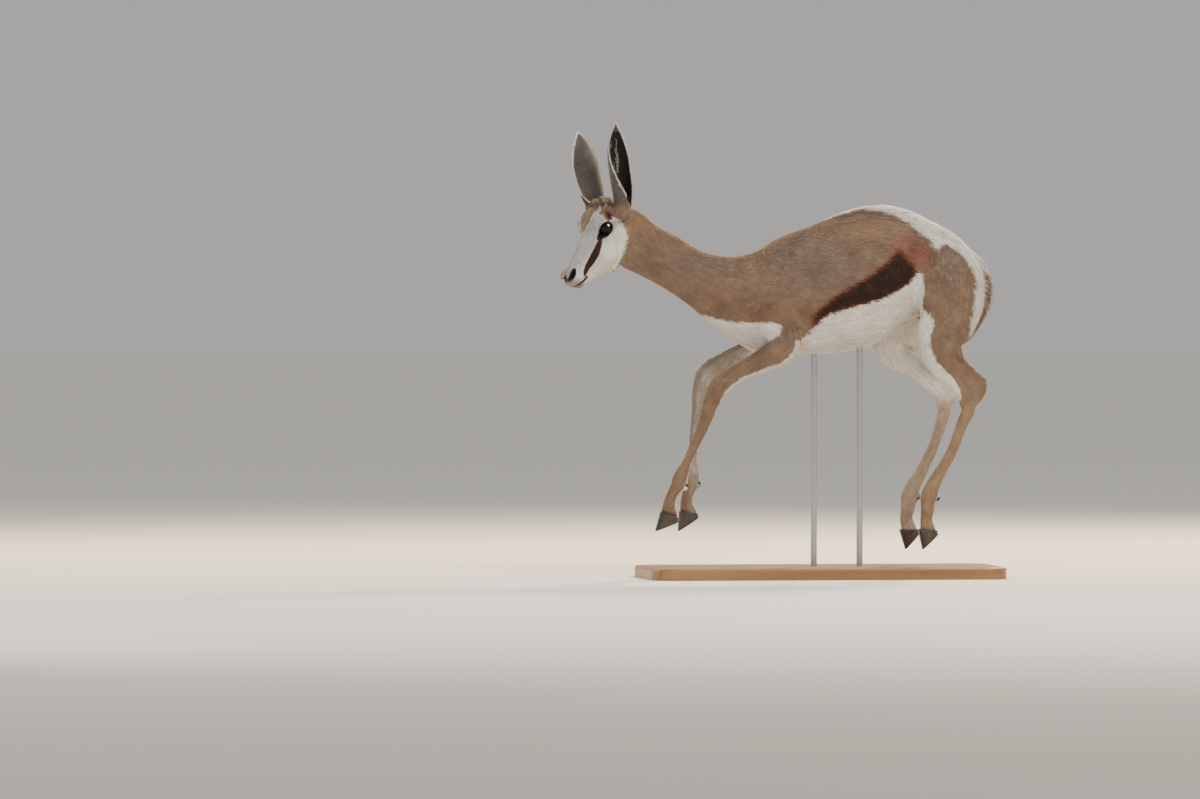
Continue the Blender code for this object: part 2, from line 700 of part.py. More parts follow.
def part_body(body, paths):
    """Cut the skin into named pieces, a hair's breadth apart."""
    cutters = [box("head end", *shifted(HEAD_CUT, -GAP / 2, 100), 150, 150, 100)]
    cutters.append(box("neck slab", *NECK_CUT, 120, 120, GAP / 2))
    seeds = {"torso": np.array([80.0, 0.0, 560.0]), "neck": np.array([-255.0, 0.0, 590.0])}
    for leg, rows in paths.items():
        marks = LIMB_CUTS[leg]
        ends = [mark for _, mark, _ in marks[1:]] + [len(rows) - 2.0]
        for (part, mark, margin), end in zip(marks, ends):
            here, ahead = station(rows, mark)
            slab_size = (here[3] / 2 + margin, here[4] / 2 + margin * 0.8)
            cutters.append(box("limb slab", here[:3], ahead, *slab_size, GAP / 2))
            middle, _ = station(rows, (mark + end) / 2)
            seeds[f"{leg[:4]}leg_{leg[5:]}_{part}"] = middle[:3]
        crown = np.array(rows[-2][:3], dtype=float)
        down = hoof_frame(leg)[1]
        cutters.append(box("crown cut", crown + down * (12.0 - GAP / 2), down, 30, 24, 12.0))
    cutters.append(skin_over("tail groove", tail_rings(2 * GAP)))
    for x in ROD_STATIONS:
        cutters.append(rod("rod socket", x, ROD_RADIUS + GAP, BELLY_HEIGHT + ROD_INTO_BODY + GAP))
    return cut(body, [joined("parting planes", cutters)]), seeds


def rod(name, x, radius, top, finish=None):
    """An upright round bar from its socket in the base."""
    low = BASE_THICKNESS - ROD_SOCKET_BOTTOM
    half_depth = np.array([radius, 0.0, 0.0])
    rings = [ring(np.array([x, 0.0, z]), half_depth, ACROSS * radius, 0.0, 24) for z in (low, top)]
    return skin_over(name, rings, finish)


def stand_base(finish):
    """A flat plate with round corners, an eased upper edge and two blind holes."""
    outline = []
    for cx, cy, start in ((1, 1, 0), (-1, 1, 90), (-1, -1, 180), (1, -1, 270)):
        for turn in np.radians(np.linspace(start, start + 90, 7)):
            outline.append((cx * (BASE_LENGTH / 2 - BASE_CORNER) + BASE_CORNER * math.cos(turn),
                            cy * (BASE_WIDTH / 2 - BASE_CORNER) + BASE_CORNER * math.sin(turn)))
    outline = np.array(outline)
    rings = []
    for z, inset in ((0.0, 0.0), (BASE_THICKNESS - BASE_EDGE_BEVEL, 0.0),
                     (BASE_THICKNESS - 1.2, 1.2), (BASE_THICKNESS, BASE_EDGE_BEVEL)):
        shrink = 1 - inset / np.array([BASE_LENGTH / 2, BASE_WIDTH / 2])
        rings.append(np.column_stack([outline * shrink, np.full(len(outline), z)]))
    plate = skin_over("stand_base", rings, finish)
    holes = []
    for x in ROD_STATIONS:
        hole = rod("hole", x, ROD_RADIUS + GAP, BASE_THICKNESS + 20)
        hole.location.z = -GAP * MM
        holes.append(hole)
    return cut(plate, holes)


def build():
    for old in list(bpy.data.objects):
        bpy.data.objects.remove(old)
    coat = material("short coat", (0.42, 0.25, 0.14), 0.8)
    horn_black = material("horn", (0.03, 0.027, 0.025), 0.4)
    eye_black = material("glass eye", (0.012, 0.008, 0.006), 0.08)
    wood = material("oiled oak", (0.36, 0.22, 0.11), 0.55)
    steel = material("brushed steel", (0.58, 0.57, 0.55), 0.35, 1.0)
    paths = leg_paths()
    body, seeds = part_body(whole_body(paths), paths)
    pieces = [part for part in loose_parts(body) if len(part[0]) > 40]
    bpy.data.objects.remove(body)
    for name, seed in seeds.items():
        nearest = min(pieces, key=lambda part: np.linalg.norm(part[0].mean(axis=0) - seed))
        place(name, *nearest, coat)
    head_solid().data.materials.append(coat)
    skin_over("tail", tail_rings(), coat)
    for side in ("left", "right"):
        ear(side, coat)
        eye(side, eye_black)
        horn(side, horn_black)
    for leg, rows in paths.items():
        crown = np.array(rows[-2][:3], dtype=float)
        for inner in (True, False):
            claw(leg, inner, crown, horn_black)
    stand_base(wood)
    for name, x in zip(("stand_rod_front", "stand_rod_rear"), ROD_STATIONS):
        rod(name, x, ROD_RADIUS, BELLY_HEIGHT + ROD_INTO_BODY, steel)


build()
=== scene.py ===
# %% [markdown]
# # A young springbok at the top of its leap
# A museum shows such an animal as a mount: its skin over a carved form, with glass eyes,
# its own horns and hooves, and steel rods up from a wooden base.
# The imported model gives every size. Here each fleshy node gives way to one finer skin
# with short hair on it, and the eyes, horns, hooves and stand get their own finishes.

# %% Load the frame
import json
import math

import bmesh
import bpy
import numpy as np
from mathutils import Matrix, Vector
from mathutils.kdtree import KDTree

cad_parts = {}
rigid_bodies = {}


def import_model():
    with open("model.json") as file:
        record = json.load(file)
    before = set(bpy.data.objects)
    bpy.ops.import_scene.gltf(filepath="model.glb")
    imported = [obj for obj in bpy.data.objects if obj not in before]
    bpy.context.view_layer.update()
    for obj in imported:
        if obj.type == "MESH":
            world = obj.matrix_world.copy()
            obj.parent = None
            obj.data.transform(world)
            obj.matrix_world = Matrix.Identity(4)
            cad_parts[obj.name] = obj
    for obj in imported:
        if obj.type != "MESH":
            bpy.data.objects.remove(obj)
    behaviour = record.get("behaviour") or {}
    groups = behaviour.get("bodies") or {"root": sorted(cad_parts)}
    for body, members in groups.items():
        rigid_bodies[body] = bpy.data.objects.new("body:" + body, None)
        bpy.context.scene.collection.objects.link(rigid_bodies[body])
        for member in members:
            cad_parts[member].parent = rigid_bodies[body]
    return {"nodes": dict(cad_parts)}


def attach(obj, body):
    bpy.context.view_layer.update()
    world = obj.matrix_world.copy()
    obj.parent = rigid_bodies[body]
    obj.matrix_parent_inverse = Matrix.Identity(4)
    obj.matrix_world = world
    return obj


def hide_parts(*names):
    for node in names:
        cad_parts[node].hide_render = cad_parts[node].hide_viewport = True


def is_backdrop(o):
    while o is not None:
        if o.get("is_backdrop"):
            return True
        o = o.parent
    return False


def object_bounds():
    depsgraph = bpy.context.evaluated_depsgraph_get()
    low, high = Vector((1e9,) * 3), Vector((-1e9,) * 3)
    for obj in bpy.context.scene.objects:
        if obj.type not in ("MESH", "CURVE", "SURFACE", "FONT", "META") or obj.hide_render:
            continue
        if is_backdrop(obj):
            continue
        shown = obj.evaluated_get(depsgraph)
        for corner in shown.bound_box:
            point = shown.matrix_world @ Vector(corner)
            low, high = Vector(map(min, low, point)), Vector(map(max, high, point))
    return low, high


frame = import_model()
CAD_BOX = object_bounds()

MM = 0.001
ACROSS = np.array([0.0, 1.0, 0.0])
DRAW = np.random.default_rng(41)
print("nodes:", len(frame["nodes"]), "box:", [tuple(round(v, 3) for v in corner) for corner in CAD_BOX])

# %% [markdown]
# ## Colours and nodes
# Colours are read off a screen as sRGB hex values, while the renderer counts light, so one
# function turns them linear. A second one adds a shader node, sets it and wires it, which
# keeps every material below a short list of steps.

# %% Colour and node helpers
def linear(code):
    """An sRGB hex colour as linear red, green, blue and alpha."""
    channels = []
    for start in (1, 3, 5):
        value = int(code[start:start + 2], 16) / 255
        channels.append(value / 12.92 if value <= 0.04045 else ((value + 0.055) / 1.055) ** 2.4)
    return (*channels, 1.0)


def node(tree, kind, settings=None, **inputs):
    """Adds a node; an input is a value, or a socket of another node that is wired in."""
    made = tree.nodes.new(kind)
    for name, value in (settings or {}).items():
        setattr(made, name, value)
    for name, value in inputs.items():
        key = int(name[1:]) if name[0] == "i" and name[1:].isdigit() else name.replace("_", " ")
        socket = made.inputs[key]
        if isinstance(value, bpy.types.NodeSocket):
            tree.links.new(value, socket)
        else:
            socket.default_value = value
    return made


def new_material(name, **inputs):
    """A material with one Principled BSDF whose plain values are set on its own sockets."""
    made = bpy.data.materials.new(name)
    made.use_nodes = True
    shader = made.node_tree.nodes["Principled BSDF"]
    for key, value in inputs.items():
        shader.inputs[key.replace("_", " ")].default_value = value
    return made, made.node_tree, shader

# %% [markdown]
# ## The camera
# The photograph was taken from far off with a long lens, level with the animal and about
# eight degrees ahead of square to its flank. One pixel is 1.9 mm at the animal. From those
# three facts the lens and the place of the camera follow.

# %% Camera at the photograph's angle
PHOTO_WIDTH = 1200
PHOTO_HEIGHT = 799
PIXEL = 1.9                          # millimetres of the animal for each pixel
AZIMUTH = math.radians(-8.0)
ELEVATION = math.radians(1.0)
CAMERA_DISTANCE = 24000.0
ANCHOR_PIXEL = (820.0, 551.5)        # where the anchor point shows in the photograph
ANCHOR_POINT = np.array([0.0, 0.0, 50.0])
SENSOR_WIDTH = 36.0

right = np.array([math.cos(AZIMUTH), math.sin(AZIMUTH), 0.0])
back = np.array([math.sin(AZIMUTH) * math.cos(ELEVATION), -math.cos(AZIMUTH) * math.cos(ELEVATION),
                 math.sin(ELEVATION)])
upward = np.cross(back, right)
aim = ANCHOR_POINT + right * (PHOTO_WIDTH / 2 - ANCHOR_PIXEL[0]) * PIXEL
aim += upward * (ANCHOR_PIXEL[1] - PHOTO_HEIGHT / 2) * PIXEL
lens = bpy.data.cameras.new("camera")
lens.sensor_width = SENSOR_WIDTH
lens.lens = SENSOR_WIDTH * CAMERA_DISTANCE / (PHOTO_WIDTH * PIXEL)
lens.clip_end = 200.0
camera = bpy.data.objects.new("camera", lens)
bpy.context.scene.collection.objects.link(camera)
bpy.context.scene.camera = camera
place = (aim + back * CAMERA_DISTANCE) * MM
camera.matrix_world = Matrix([(right[i], upward[i], back[i], place[i]) for i in range(3)] + [(0, 0, 0, 1)])
print("lens", round(lens.lens, 1), "mm, camera height", round(place[2], 3), "m")

# %% [markdown]
# ## The studio
# Large soft lamps show the lie of a short coat better than a hard sun does. The key stands
# on the camera's side, high over the rump. Two warm ones on the far side draw the pale edge
# that the low sun gives in the photograph, a wide one above keeps the legs readable, and a
# fill opens the shadows of the face. Floor and air share a pale tone.

# %% Lamps
def soft_lamp(name, place, aim, size, power, colour):
    """A round lamp: size in metres across, power in watts."""
    light = bpy.data.lights.new(name, "AREA")
    light.shape = "DISK"
    light.size = size
    light.energy = power
    light.color = linear(colour)[:3]
    lamp = bpy.data.objects.new(name, light)
    bpy.context.scene.collection.objects.link(lamp)
    lamp.location = place
    lamp.rotation_euler = (Vector(place) - Vector(aim)).to_track_quat("Z", "Y").to_euler()
    lamp.visible_glossy = size < 2.0     # the widest lamps would show as grey discs in the eyes
    return lamp


soft_lamp("key", (1.9, -3.2, 3.1), (-0.1, 0, 0.5), 1.4, 125.0, "#fff7ec")
soft_lamp("sun_edge", (1.7, 2.5, 2.6), (-0.05, 0, 0.5), 0.8, 230.0, "#ffe0b8")
soft_lamp("sun_edge_ahead", (-2.2, 2.4, 2.2), (-0.3, 0, 0.6), 0.8, 110.0, "#ffe6c6")
soft_lamp("overhead", (0.2, -0.6, 3.4), (0, 0, 0.4), 2.6, 30.0, "#ffffff")
soft_lamp("fill", (-3.0, -2.8, 1.6), (0, 0, 0.4), 3.0, 55.0, "#eef2ff")
print("lamps:", len(bpy.data.lights))

# %% Pale air and floor
AIR_LIGHT = "#dfddd9"
AIR_SEEN = "#cfccc8"
AIR_STRENGTH = 0.75
FLOOR_RADIUS = 30.0
air = bpy.data.worlds.new("pale_air")
bpy.context.scene.world = air
air.use_nodes = True
path = node(air.node_tree, "ShaderNodeLightPath")
tone = node(air.node_tree, "ShaderNodeMix", {"data_type": "RGBA"}, i0=path.outputs["Is Camera Ray"],
            i6=linear(AIR_LIGHT), i7=linear(AIR_SEEN))
sky = air.node_tree.nodes["Background"]
air.node_tree.links.new(tone.outputs[2], sky.inputs["Color"])
sky.inputs["Strength"].default_value = AIR_STRENGTH

shape = bmesh.new()
bmesh.ops.create_circle(shape, cap_ends=True, segments=128, radius=FLOOR_RADIUS)
floor_mesh = bpy.data.meshes.new("floor")
shape.to_mesh(floor_mesh)
shape.free()
floor = bpy.data.objects.new("floor", floor_mesh)
bpy.context.scene.collection.objects.link(floor)
floor_paint, tree, shader = new_material("pale_studio_floor", Roughness=0.85, Base_Color=linear("#e8e5e0"))
grain = node(tree, "ShaderNodeTexNoise", Scale=3.0, Detail=4.0)
tone = node(tree, "ShaderNodeMix", {"data_type": "RGBA"}, i0=grain.outputs[0],
            i6=linear("#e5e2dc"), i7=linear("#ebe8e4"))
tree.links.new(tone.outputs[2], shader.inputs["Base Color"])
floor_mesh.materials.append(floor_paint)
floor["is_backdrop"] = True
print("floor radius", FLOOR_RADIUS, "m")

# %% [markdown]
# ## The sizes of the body
# These are the sizes that the solids were built from: sections down the trunk, stations
# down each leg and down the tail. The finer skin starts from the same numbers, so that it
# lies where the solids are. All are millimetres.

# %% Trunk and legs
# Trunk and neck: top x, top z, bottom x, bottom z, half width, egg (wider below if positive)
TRUNK = (
    (-392, 704, -404, 606, 27, 0.10), (-352, 700, -378, 590, 30, 0.05), (-319, 675, -352, 578, 30, 0.00),
    (-265, 644, -304, 553, 31, 0.00), (-217, 618, -260, 524, 35, 0.05), (-171, 611, -218, 491, 45, 0.10),
    (-125, 620, -172, 457, 59, 0.10), (-86, 643, -131, 431, 69, 0.00), (-23, 667, -55, 425, 80, -0.02),
    (45, 693, 38, 430, 88, 0.06), (86, 703, 86, 438, 87, 0.10), (124, 705, 120, 455, 82, 0.10),
    (163, 697, 150, 480, 76, 0.05), (213, 675, 195, 497, 70, 0.00), (262, 646, 242, 496, 62, 0.05),
    (292, 614, 278, 492, 50, 0.10), (309, 584, 300, 520, 26, 0.10),
)
# Limb stations: x, y, z of the centre, and apart from them depth front to back and width
FORE_GIRTH = (
    (64, 44), (60, 46), (44, 38), (37, 29), (38, 30), (33, 27), (25, 21), (20, 18),
    (19, 17), (29, 25), (29, 25), (24, 21), (26, 23), (33, 27),
)
FORE_LEFT = (
    (-72, -54, 474), (-84, -59, 436), (-122, -59, 412), (-170, -57, 388), (-198, -56, 367),
    (-213, -55, 343), (-227, -54, 302), (-251, -52, 248), (-264, -51, 219), (-274, -50, 197),
    (-279, -50, 179), (-290, -49, 160), (-296, -48, 141), (-297, -48, 118),
)
FORE_RIGHT = (
    (-62, 54, 490), (-77, 62, 457), (-112, 64, 438), (-166, 60, 414), (-207, 55, 388),
    (-220, 53, 361), (-226, 52, 322), (-234, 50, 262), (-237, 49, 222), (-239, 48, 197),
    (-241, 48, 179), (-246, 47, 160), (-249, 46, 141), (-246, 46, 120),
)
HIND_GIRTH = (
    (84, 34), (136, 62), (137, 60), (112, 50), (88, 42), (60, 32), (40, 25), (29, 24), (33, 26),
    (27, 24), (24, 20), (22, 18), (24, 19), (29, 24), (33, 26), (28, 21), (26, 22), (31, 26),
)
HIND_LEFT = (
    (208, -34, 622), (227, -50, 580), (238, -57, 532), (233, -62, 488), (218, -65, 452),
    (220, -65, 414), (238, -63, 386), (259, -60, 363), (273, -58, 340), (276, -57, 321),
    (266, -57, 297), (242, -55, 235), (224, -54, 204), (210, -53, 178), (202, -52, 156),
    (199, -52, 130), (197, -52, 108), (199, -52, 88),
)
HIND_RIGHT = (
    (208, 34, 614), (207, 50, 568), (190, 57, 514), (168, 62, 476), (147, 64, 447),
    (154, 64, 424), (183, 62, 402), (213, 58, 376), (248, 55, 342), (249, 54, 320),
    (243, 54, 294), (222, 53, 237), (204, 52, 200), (188, 51, 172), (181, 50, 154),
    (177, 50, 128), (175, 50, 108), (180, 50, 86),
)
SHOULDER = (
    (-36, -40, 606, 60, 30), (-66, -53, 556, 88, 40), (-94, -56, 508, 88, 44),
    (-88, -56, 478, 70, 46), (-78, -56, 460, 50, 40),
)
TENDON_LEFT = (
    (246, -66, 446, 30, 22), (262, -64, 416, 12, 14), (288, -60, 390, 9, 10),
    (306, -58, 371, 11, 13), (300, -57, 354, 20, 17), (284, -57, 336, 24, 20),
)
TENDON_RIGHT = (
    (196, 66, 452, 34, 22), (216, 62, 430, 13, 14), (256, 58, 398, 9, 10),
    (282, 56, 372, 11, 13), (276, 55, 355, 20, 17), (260, 54, 338, 24, 20),
)
WEB_LEFT = ((228, -65, 436, 40, 10), (262, -62, 398, 34, 8), (286, -59, 370, 30, 9), (292, -58, 352, 30, 12))
WEB_RIGHT = ((176, 65, 444, 40, 10), (222, 62, 412, 34, 8), (264, 57, 371, 30, 9), (268, 55, 353, 30, 12))
TAIL = (
    (278, 0, 619, 18, 20), (305, 0, 594, 18, 18), (318, 0, 552, 16, 17),
    (314, 0, 512, 14, 17), (300, 0, 478, 12, 16), (286, 0, 456, 8, 10),
)
HOOF_TILT = {"fore_left": 20.0, "fore_right": 8.0, "hind_left": 5.0, "hind_right": 0.0}
LEGS = {
    "fore_left": (FORE_LEFT, FORE_GIRTH), "fore_right": (FORE_RIGHT, FORE_GIRTH),
    "hind_left": (HIND_LEFT, HIND_GIRTH), "hind_right": (HIND_RIGHT, HIND_GIRTH),
}
print("sections:", len(TRUNK), "down the trunk,", len(FORE_GIRTH), "down a foreleg,",
      len(HIND_GIRTH), "down a hind leg")

# %% [markdown]
# ## From sections to a skin
# Flesh has no edges, so it is built the way a sculptor packs clay: rings are threaded on a
# smooth curve and skinned over, the pieces are pushed into one another, and a voxel remesh
# melts them into one surface. Smoothing then takes away the steps of the grid.

# %% Curves, rings and lofts
def spline(rows, steps):
    """A smooth curve through rows of numbers, paced by the first three columns."""
    rows = np.array(rows, dtype=float)
    span = np.linalg.norm(np.diff(rows[:, :3], axis=0), axis=1)
    pace = np.concatenate([[0.0], np.cumsum(span)])
    slope = np.gradient(rows, pace, axis=0)
    curve = []
    for i in range(len(rows) - 1):
        reach = pace[i + 1] - pace[i]
        for t in np.arange(steps) / steps:
            start = (1 + 2 * t) * (1 - t) ** 2 * rows[i] + t * (1 - t) ** 2 * reach * slope[i]
            end = t * t * (3 - 2 * t) * rows[i + 1] + t * t * (t - 1) * reach * slope[i + 1]
            curve.append(start + end)
    curve.append(rows[-1])
    return np.array(curve)


def ring(centre, half_depth, half_width, egg=0.0, sides=32):
    """An egg-shaped section; half_depth and half_width are vectors in its plane."""
    turn = np.linspace(0.0, 2 * math.pi, sides, endpoint=False)
    up = np.cos(turn)
    across = np.sin(turn) * (1 - egg * up)
    return centre + np.outer(up, half_depth) + np.outer(across, half_width)


def loft(rings):
    """Points and faces of a closed solid that runs over a row of sections."""
    sides = len(rings[0])
    faces = []
    for row in range(len(rings) - 1):
        low = row * sides
        for k in range(sides):
            after = (k + 1) % sides
            faces.append((low + k, low + after, low + sides + after, low + sides + k))
    faces.append(tuple(range(sides)))
    faces.append(tuple(range((len(rings) - 1) * sides, len(rings) * sides)))
    return np.vstack(rings), faces


def ellipsoid(centre, radii, turn=np.eye(3)):
    """Points and faces of a ball stretched along the columns of turn."""
    shape = bmesh.new()
    bmesh.ops.create_uvsphere(shape, u_segments=32, v_segments=20, radius=1.0)
    points = np.array([v.co[:] for v in shape.verts]) * np.array(radii, dtype=float)
    faces = [tuple(v.index for v in f.verts) for f in shape.faces]
    shape.free()
    return points @ np.array(turn).T + np.array(centre, dtype=float), faces

# %% Objects and modifiers
def mesh_object(name, points, faces):
    """An object from points in millimetres, with its faces turned outward."""
    mesh = bpy.data.meshes.new(name)
    mesh.from_pydata([tuple(v) for v in np.array(points, dtype=float) * MM], [], faces)
    made = bpy.data.objects.new(name, mesh)
    bpy.context.scene.collection.objects.link(made)
    shape = bmesh.new()
    shape.from_mesh(mesh)
    bmesh.ops.recalc_face_normals(shape, faces=shape.faces)
    shape.to_mesh(mesh)
    shape.free()
    return made


def gathered(name, shapes):
    """Many shapes in one object, still overlapping."""
    points = []
    faces = []
    count = 0
    for shape_points, shape_faces in shapes:
        faces += [tuple(k + count for k in face) for face in shape_faces]
        points.append(shape_points)
        count += len(shape_points)
    return mesh_object(name, np.vstack(points), faces)


def bake_modifiers(thing):
    """Keeps what the modifiers made and takes them off."""
    graph = bpy.context.evaluated_depsgraph_get()
    mesh = bpy.data.meshes.new_from_object(thing.evaluated_get(graph))
    thing.modifiers.clear()
    old = thing.data
    thing.data = mesh
    bpy.data.meshes.remove(old)
    return thing


def melted(thing, voxel, fairing):
    """Remeshes an object on a grid and smooths it."""
    remesh = thing.modifiers.new("melt", "REMESH")
    remesh.mode = "VOXEL"
    remesh.voxel_size = voxel * MM
    fair = thing.modifiers.new("fair", "SMOOTH")
    fair.factor = 0.5
    fair.iterations = fairing
    return bake_modifiers(thing)


def carved(thing, cutter, operation="DIFFERENCE"):
    """Cuts one object from another, or joins it on, and removes it."""
    step = thing.modifiers.new("carve", "BOOLEAN")
    step.operation = operation
    step.solver = "MANIFOLD"
    step.object = cutter
    bake_modifiers(thing)
    bpy.data.objects.remove(cutter)
    return thing

# %% [markdown]
# ## The body under the coat
# Trunk, neck, legs and tail are lofts of the sizes above. Shoulder blades, the tendons
# above the hocks with the thin skin in front of them, and the dew claws are added as clay
# would be. The melt comes out at a grid of two and a half millimetres.

# %% Lofts for trunk, legs and tail
BODY_VOXEL = 2.5
BODY_FAIRING = 10
LOFT_STEPS = 6                       # sections drawn between two of those above
TRUNK_SIDES = 44
FETLOCK = {"fore": 10, "hind": 14}   # the station where the dew claws sit


def trunk_sections(steps):
    """Rows of centre, up, half height, half width and egg along neck and trunk."""
    rows = []
    for tx, tz, bx, bz, half, egg in spline(TRUNK, steps):
        top = np.array([tx, 0.0, tz])
        bottom = np.array([bx, 0.0, bz])
        height = np.linalg.norm(top - bottom) / 2
        rows.append(((top + bottom) / 2, (top - bottom) / 2 / height, height, half, egg))
    return rows


def limb_sections(stations, steps):
    """Rows of centre, rear direction, half depth, half width and egg down a limb."""
    rows = spline(stations, steps)
    rearward = np.cross(np.gradient(rows[:, :3], axis=0), ACROSS)
    rearward /= np.linalg.norm(rearward, axis=1)[:, None]
    return [(row[:3], rear, row[3] / 2, row[4] / 2, 0.0) for row, rear in zip(rows, rearward)]


def loft_of(sections, sides=28):
    """A closed solid over rows of centre, up, half height, half width and egg."""
    return loft([ring(c, up * high, ACROSS * wide, egg, sides) for c, up, high, wide, egg in sections])


def hoof_axes(leg):
    """Directions to the front and down to the toe at the crown of a hoof."""
    tilt = math.radians(HOOF_TILT[leg])
    return (np.array([-math.cos(tilt), 0.0, math.sin(tilt)]),
            np.array([-math.sin(tilt), 0.0, -math.cos(tilt)]))


def leg_stations(leg):
    """A leg's centres with their girths, and one station more inside the hoof."""
    centres, girths = LEGS[leg]
    rows = [(*centre, *girth) for centre, girth in zip(centres, girths)]
    beyond = np.array(centres[-1], dtype=float) + hoof_axes(leg)[1] * 14.0
    return rows + [(*beyond, *girths[-1])]


def dew_claws(leg):
    """Two blunt studs behind the fetlock."""
    x, y, z, depth, width = leg_stations(leg)[FETLOCK[leg[:4]]]
    front = hoof_axes(leg)[0]
    return [ellipsoid(np.array([x, y + way * width * 0.3, z]) - front * depth * 0.46, (5.0, 4.5, 7.0))
            for way in (-1, 1)]

# %% Melt the body
shapes = [loft_of(trunk_sections(LOFT_STEPS), TRUNK_SIDES), loft_of(limb_sections(TAIL, LOFT_STEPS))]
for leg in LEGS:
    shapes.append(loft_of(limb_sections(leg_stations(leg), LOFT_STEPS)))
    shapes += dew_claws(leg)
for way in (1, -1):
    blade = [(x, y * way, z, d, w) for x, y, z, d, w in SHOULDER]
    shapes.append(loft_of(limb_sections(blade, LOFT_STEPS)))
for rows in (TENDON_LEFT, TENDON_RIGHT, WEB_LEFT, WEB_RIGHT):
    shapes.append(loft_of(limb_sections(rows, LOFT_STEPS)))
body = melted(gathered("body", shapes), BODY_VOXEL, BODY_FAIRING)
print("body:", len(body.data.vertices), "points")

# %% [markdown]
# ## The head under the coat
# The head is turned to its left and points down. It has its own frame: a runs to the nose,
# b up and c to its left. Skull, brows, cheeks, lips and throat are melted together, then the eye
# openings, the nostrils and the mouth are carved out, and a second, finer melt rounds
# the edges that the carving left, as living lids and lips are round.

# %% Sizes of the head
HEAD_ORIGIN = np.array([-431.6, -20.0, 663.3])
HEAD_YAW = math.radians(32.0)
HEAD_PITCH = math.radians(45.0)
SKULL = (                            # a, top b, bottom b, half width, egg
    (-66, 14, -30, 20, 0.0), (-48, 30, -52, 30, 0.0), (-28, 36, -68, 33, -0.1),
    (-5, 32, -80, 32, -0.2), (15, 25, -82, 29, -0.25), (35, 17, -78, 24, -0.2),
    (58, 11, -68, 19.5, -0.1), (80, 5, -58, 17.5, 0.0), (98, 0, -52, 18, 0.05),
    (110, -5, -45, 17.0, 0.05), (118, -11, -39, 13.0, 0.0), (122, -18, -32, 7, 0.0),
)
EYE_CENTRE = (-5.0, 1.5, 21.5)
EYE_TURN = math.radians(30.0)
EYE_RADIUS = 15.0
LID_RADIUS = 17.4
LID_OPENING = (14.6, 13.0)
LID_FLARE = ((5.0, 0.74), (24.0, 1.36))     # how wide the opening is at two distances from the eye's middle
NOSTRIL_INNER = (124.0, -18.0, 4.5)
NOSTRIL_OUTER = (101.0, -9.0, 17.0)
NOSTRIL_BOW = 6.0
MOUTH_CORNER = (87.0, -38.5, 19.0)
MOUTH_FRONT = (126.0, -31.0, 0.0)
HEAD_SEAM = (np.array([-372.0, -4.0, 645.0]), np.array([-0.93, -0.10, 0.30]))
HEAD_VOXEL = 1.6
FINE_VOXEL = 1.1


def head_frame():
    """The head's a, b and c directions as columns in the model's frame."""
    level = np.array([-math.cos(HEAD_YAW), -math.sin(HEAD_YAW), 0.0])
    upright = np.array([0.0, 0.0, 1.0])
    forward = math.cos(HEAD_PITCH) * level - math.sin(HEAD_PITCH) * upright
    up = math.sin(HEAD_PITCH) * level + math.cos(HEAD_PITCH) * upright
    left = np.array([math.sin(HEAD_YAW), -math.cos(HEAD_YAW), 0.0])
    return np.column_stack([forward, up, left])


HEAD_AXES = head_frame()


def on_head(points):
    """Points of the head's own frame in the model's frame."""
    return HEAD_ORIGIN + np.array(points, dtype=float) @ HEAD_AXES.T


def in_head(points):
    """The reverse of on_head."""
    return (np.array(points, dtype=float) - HEAD_ORIGIN) @ HEAD_AXES


def twin(point, way):
    """A point on the head's left for way 1, and its mirror on the right for way -1."""
    a, b, c = point
    return np.array([a, b, c * way])

# %% Lids
def gaze_axes(way):
    """Where an eye looks, and the directions along and above its opening."""
    gaze = np.array([math.sin(EYE_TURN), 0.06, way * math.cos(EYE_TURN)])
    along = np.array([math.cos(EYE_TURN), -0.10, -way * math.sin(EYE_TURN)])
    return gaze, along, np.array([0.10, 1.0, 0.0])


def tear_duct(turn):
    """How far the opening is drawn out in front, in millimetres."""
    return 8.5 * np.maximum(0.0, np.cos(turn)) ** 14


def lid_flare(reach):
    """The share of LID_OPENING at a distance from the eye's middle."""
    (near, narrow), (far, broad) = LID_FLARE
    return narrow + (broad - narrow) * (reach - near) / (far - near)


def lid_opening(way, reach, grow, points=32):
    """An almond drawn out to the tear duct."""
    gaze, along, above = gaze_axes(way)
    turn = np.linspace(0.0, 2 * math.pi, points, endpoint=False)
    ahead = grow * (LID_OPENING[0] * np.cos(turn) + tear_duct(turn))
    high = grow * LID_OPENING[1] * np.sin(turn)
    return on_head(twin(EYE_CENTRE, way) + gaze * reach + np.outer(ahead, along) + np.outer(high, above))

# %% Nostrils and mouth
def nostril_path(way, points=12):
    """A comma that opens forward and climbs outward."""
    t = np.linspace(0.0, 1.0, points)
    path = np.outer(1 - t, NOSTRIL_INNER) + np.outer(t, NOSTRIL_OUTER)
    path[:, 1] += 2.0 * np.sin(math.pi * t)
    path[:, 2] += NOSTRIL_BOW * np.sin(math.pi * t)
    radius = 1.8 + 3.4 * np.sin(math.pi * np.minimum(1.0, t * 0.9 + 0.12))
    return path * (1, 1, way), radius


def nostril_tool(way):
    """What is carved out for a nostril."""
    path, radius = nostril_path(way)
    inward = HEAD_AXES @ np.array([-0.35, 0.0, -0.95 * way])
    up = HEAD_AXES[:, 1]
    return loft([ring(on_head(point) + inward * size * 0.8, up * size, inward * size * 1.9, 0.0, 16)
                 for point, size in zip(path, radius)])


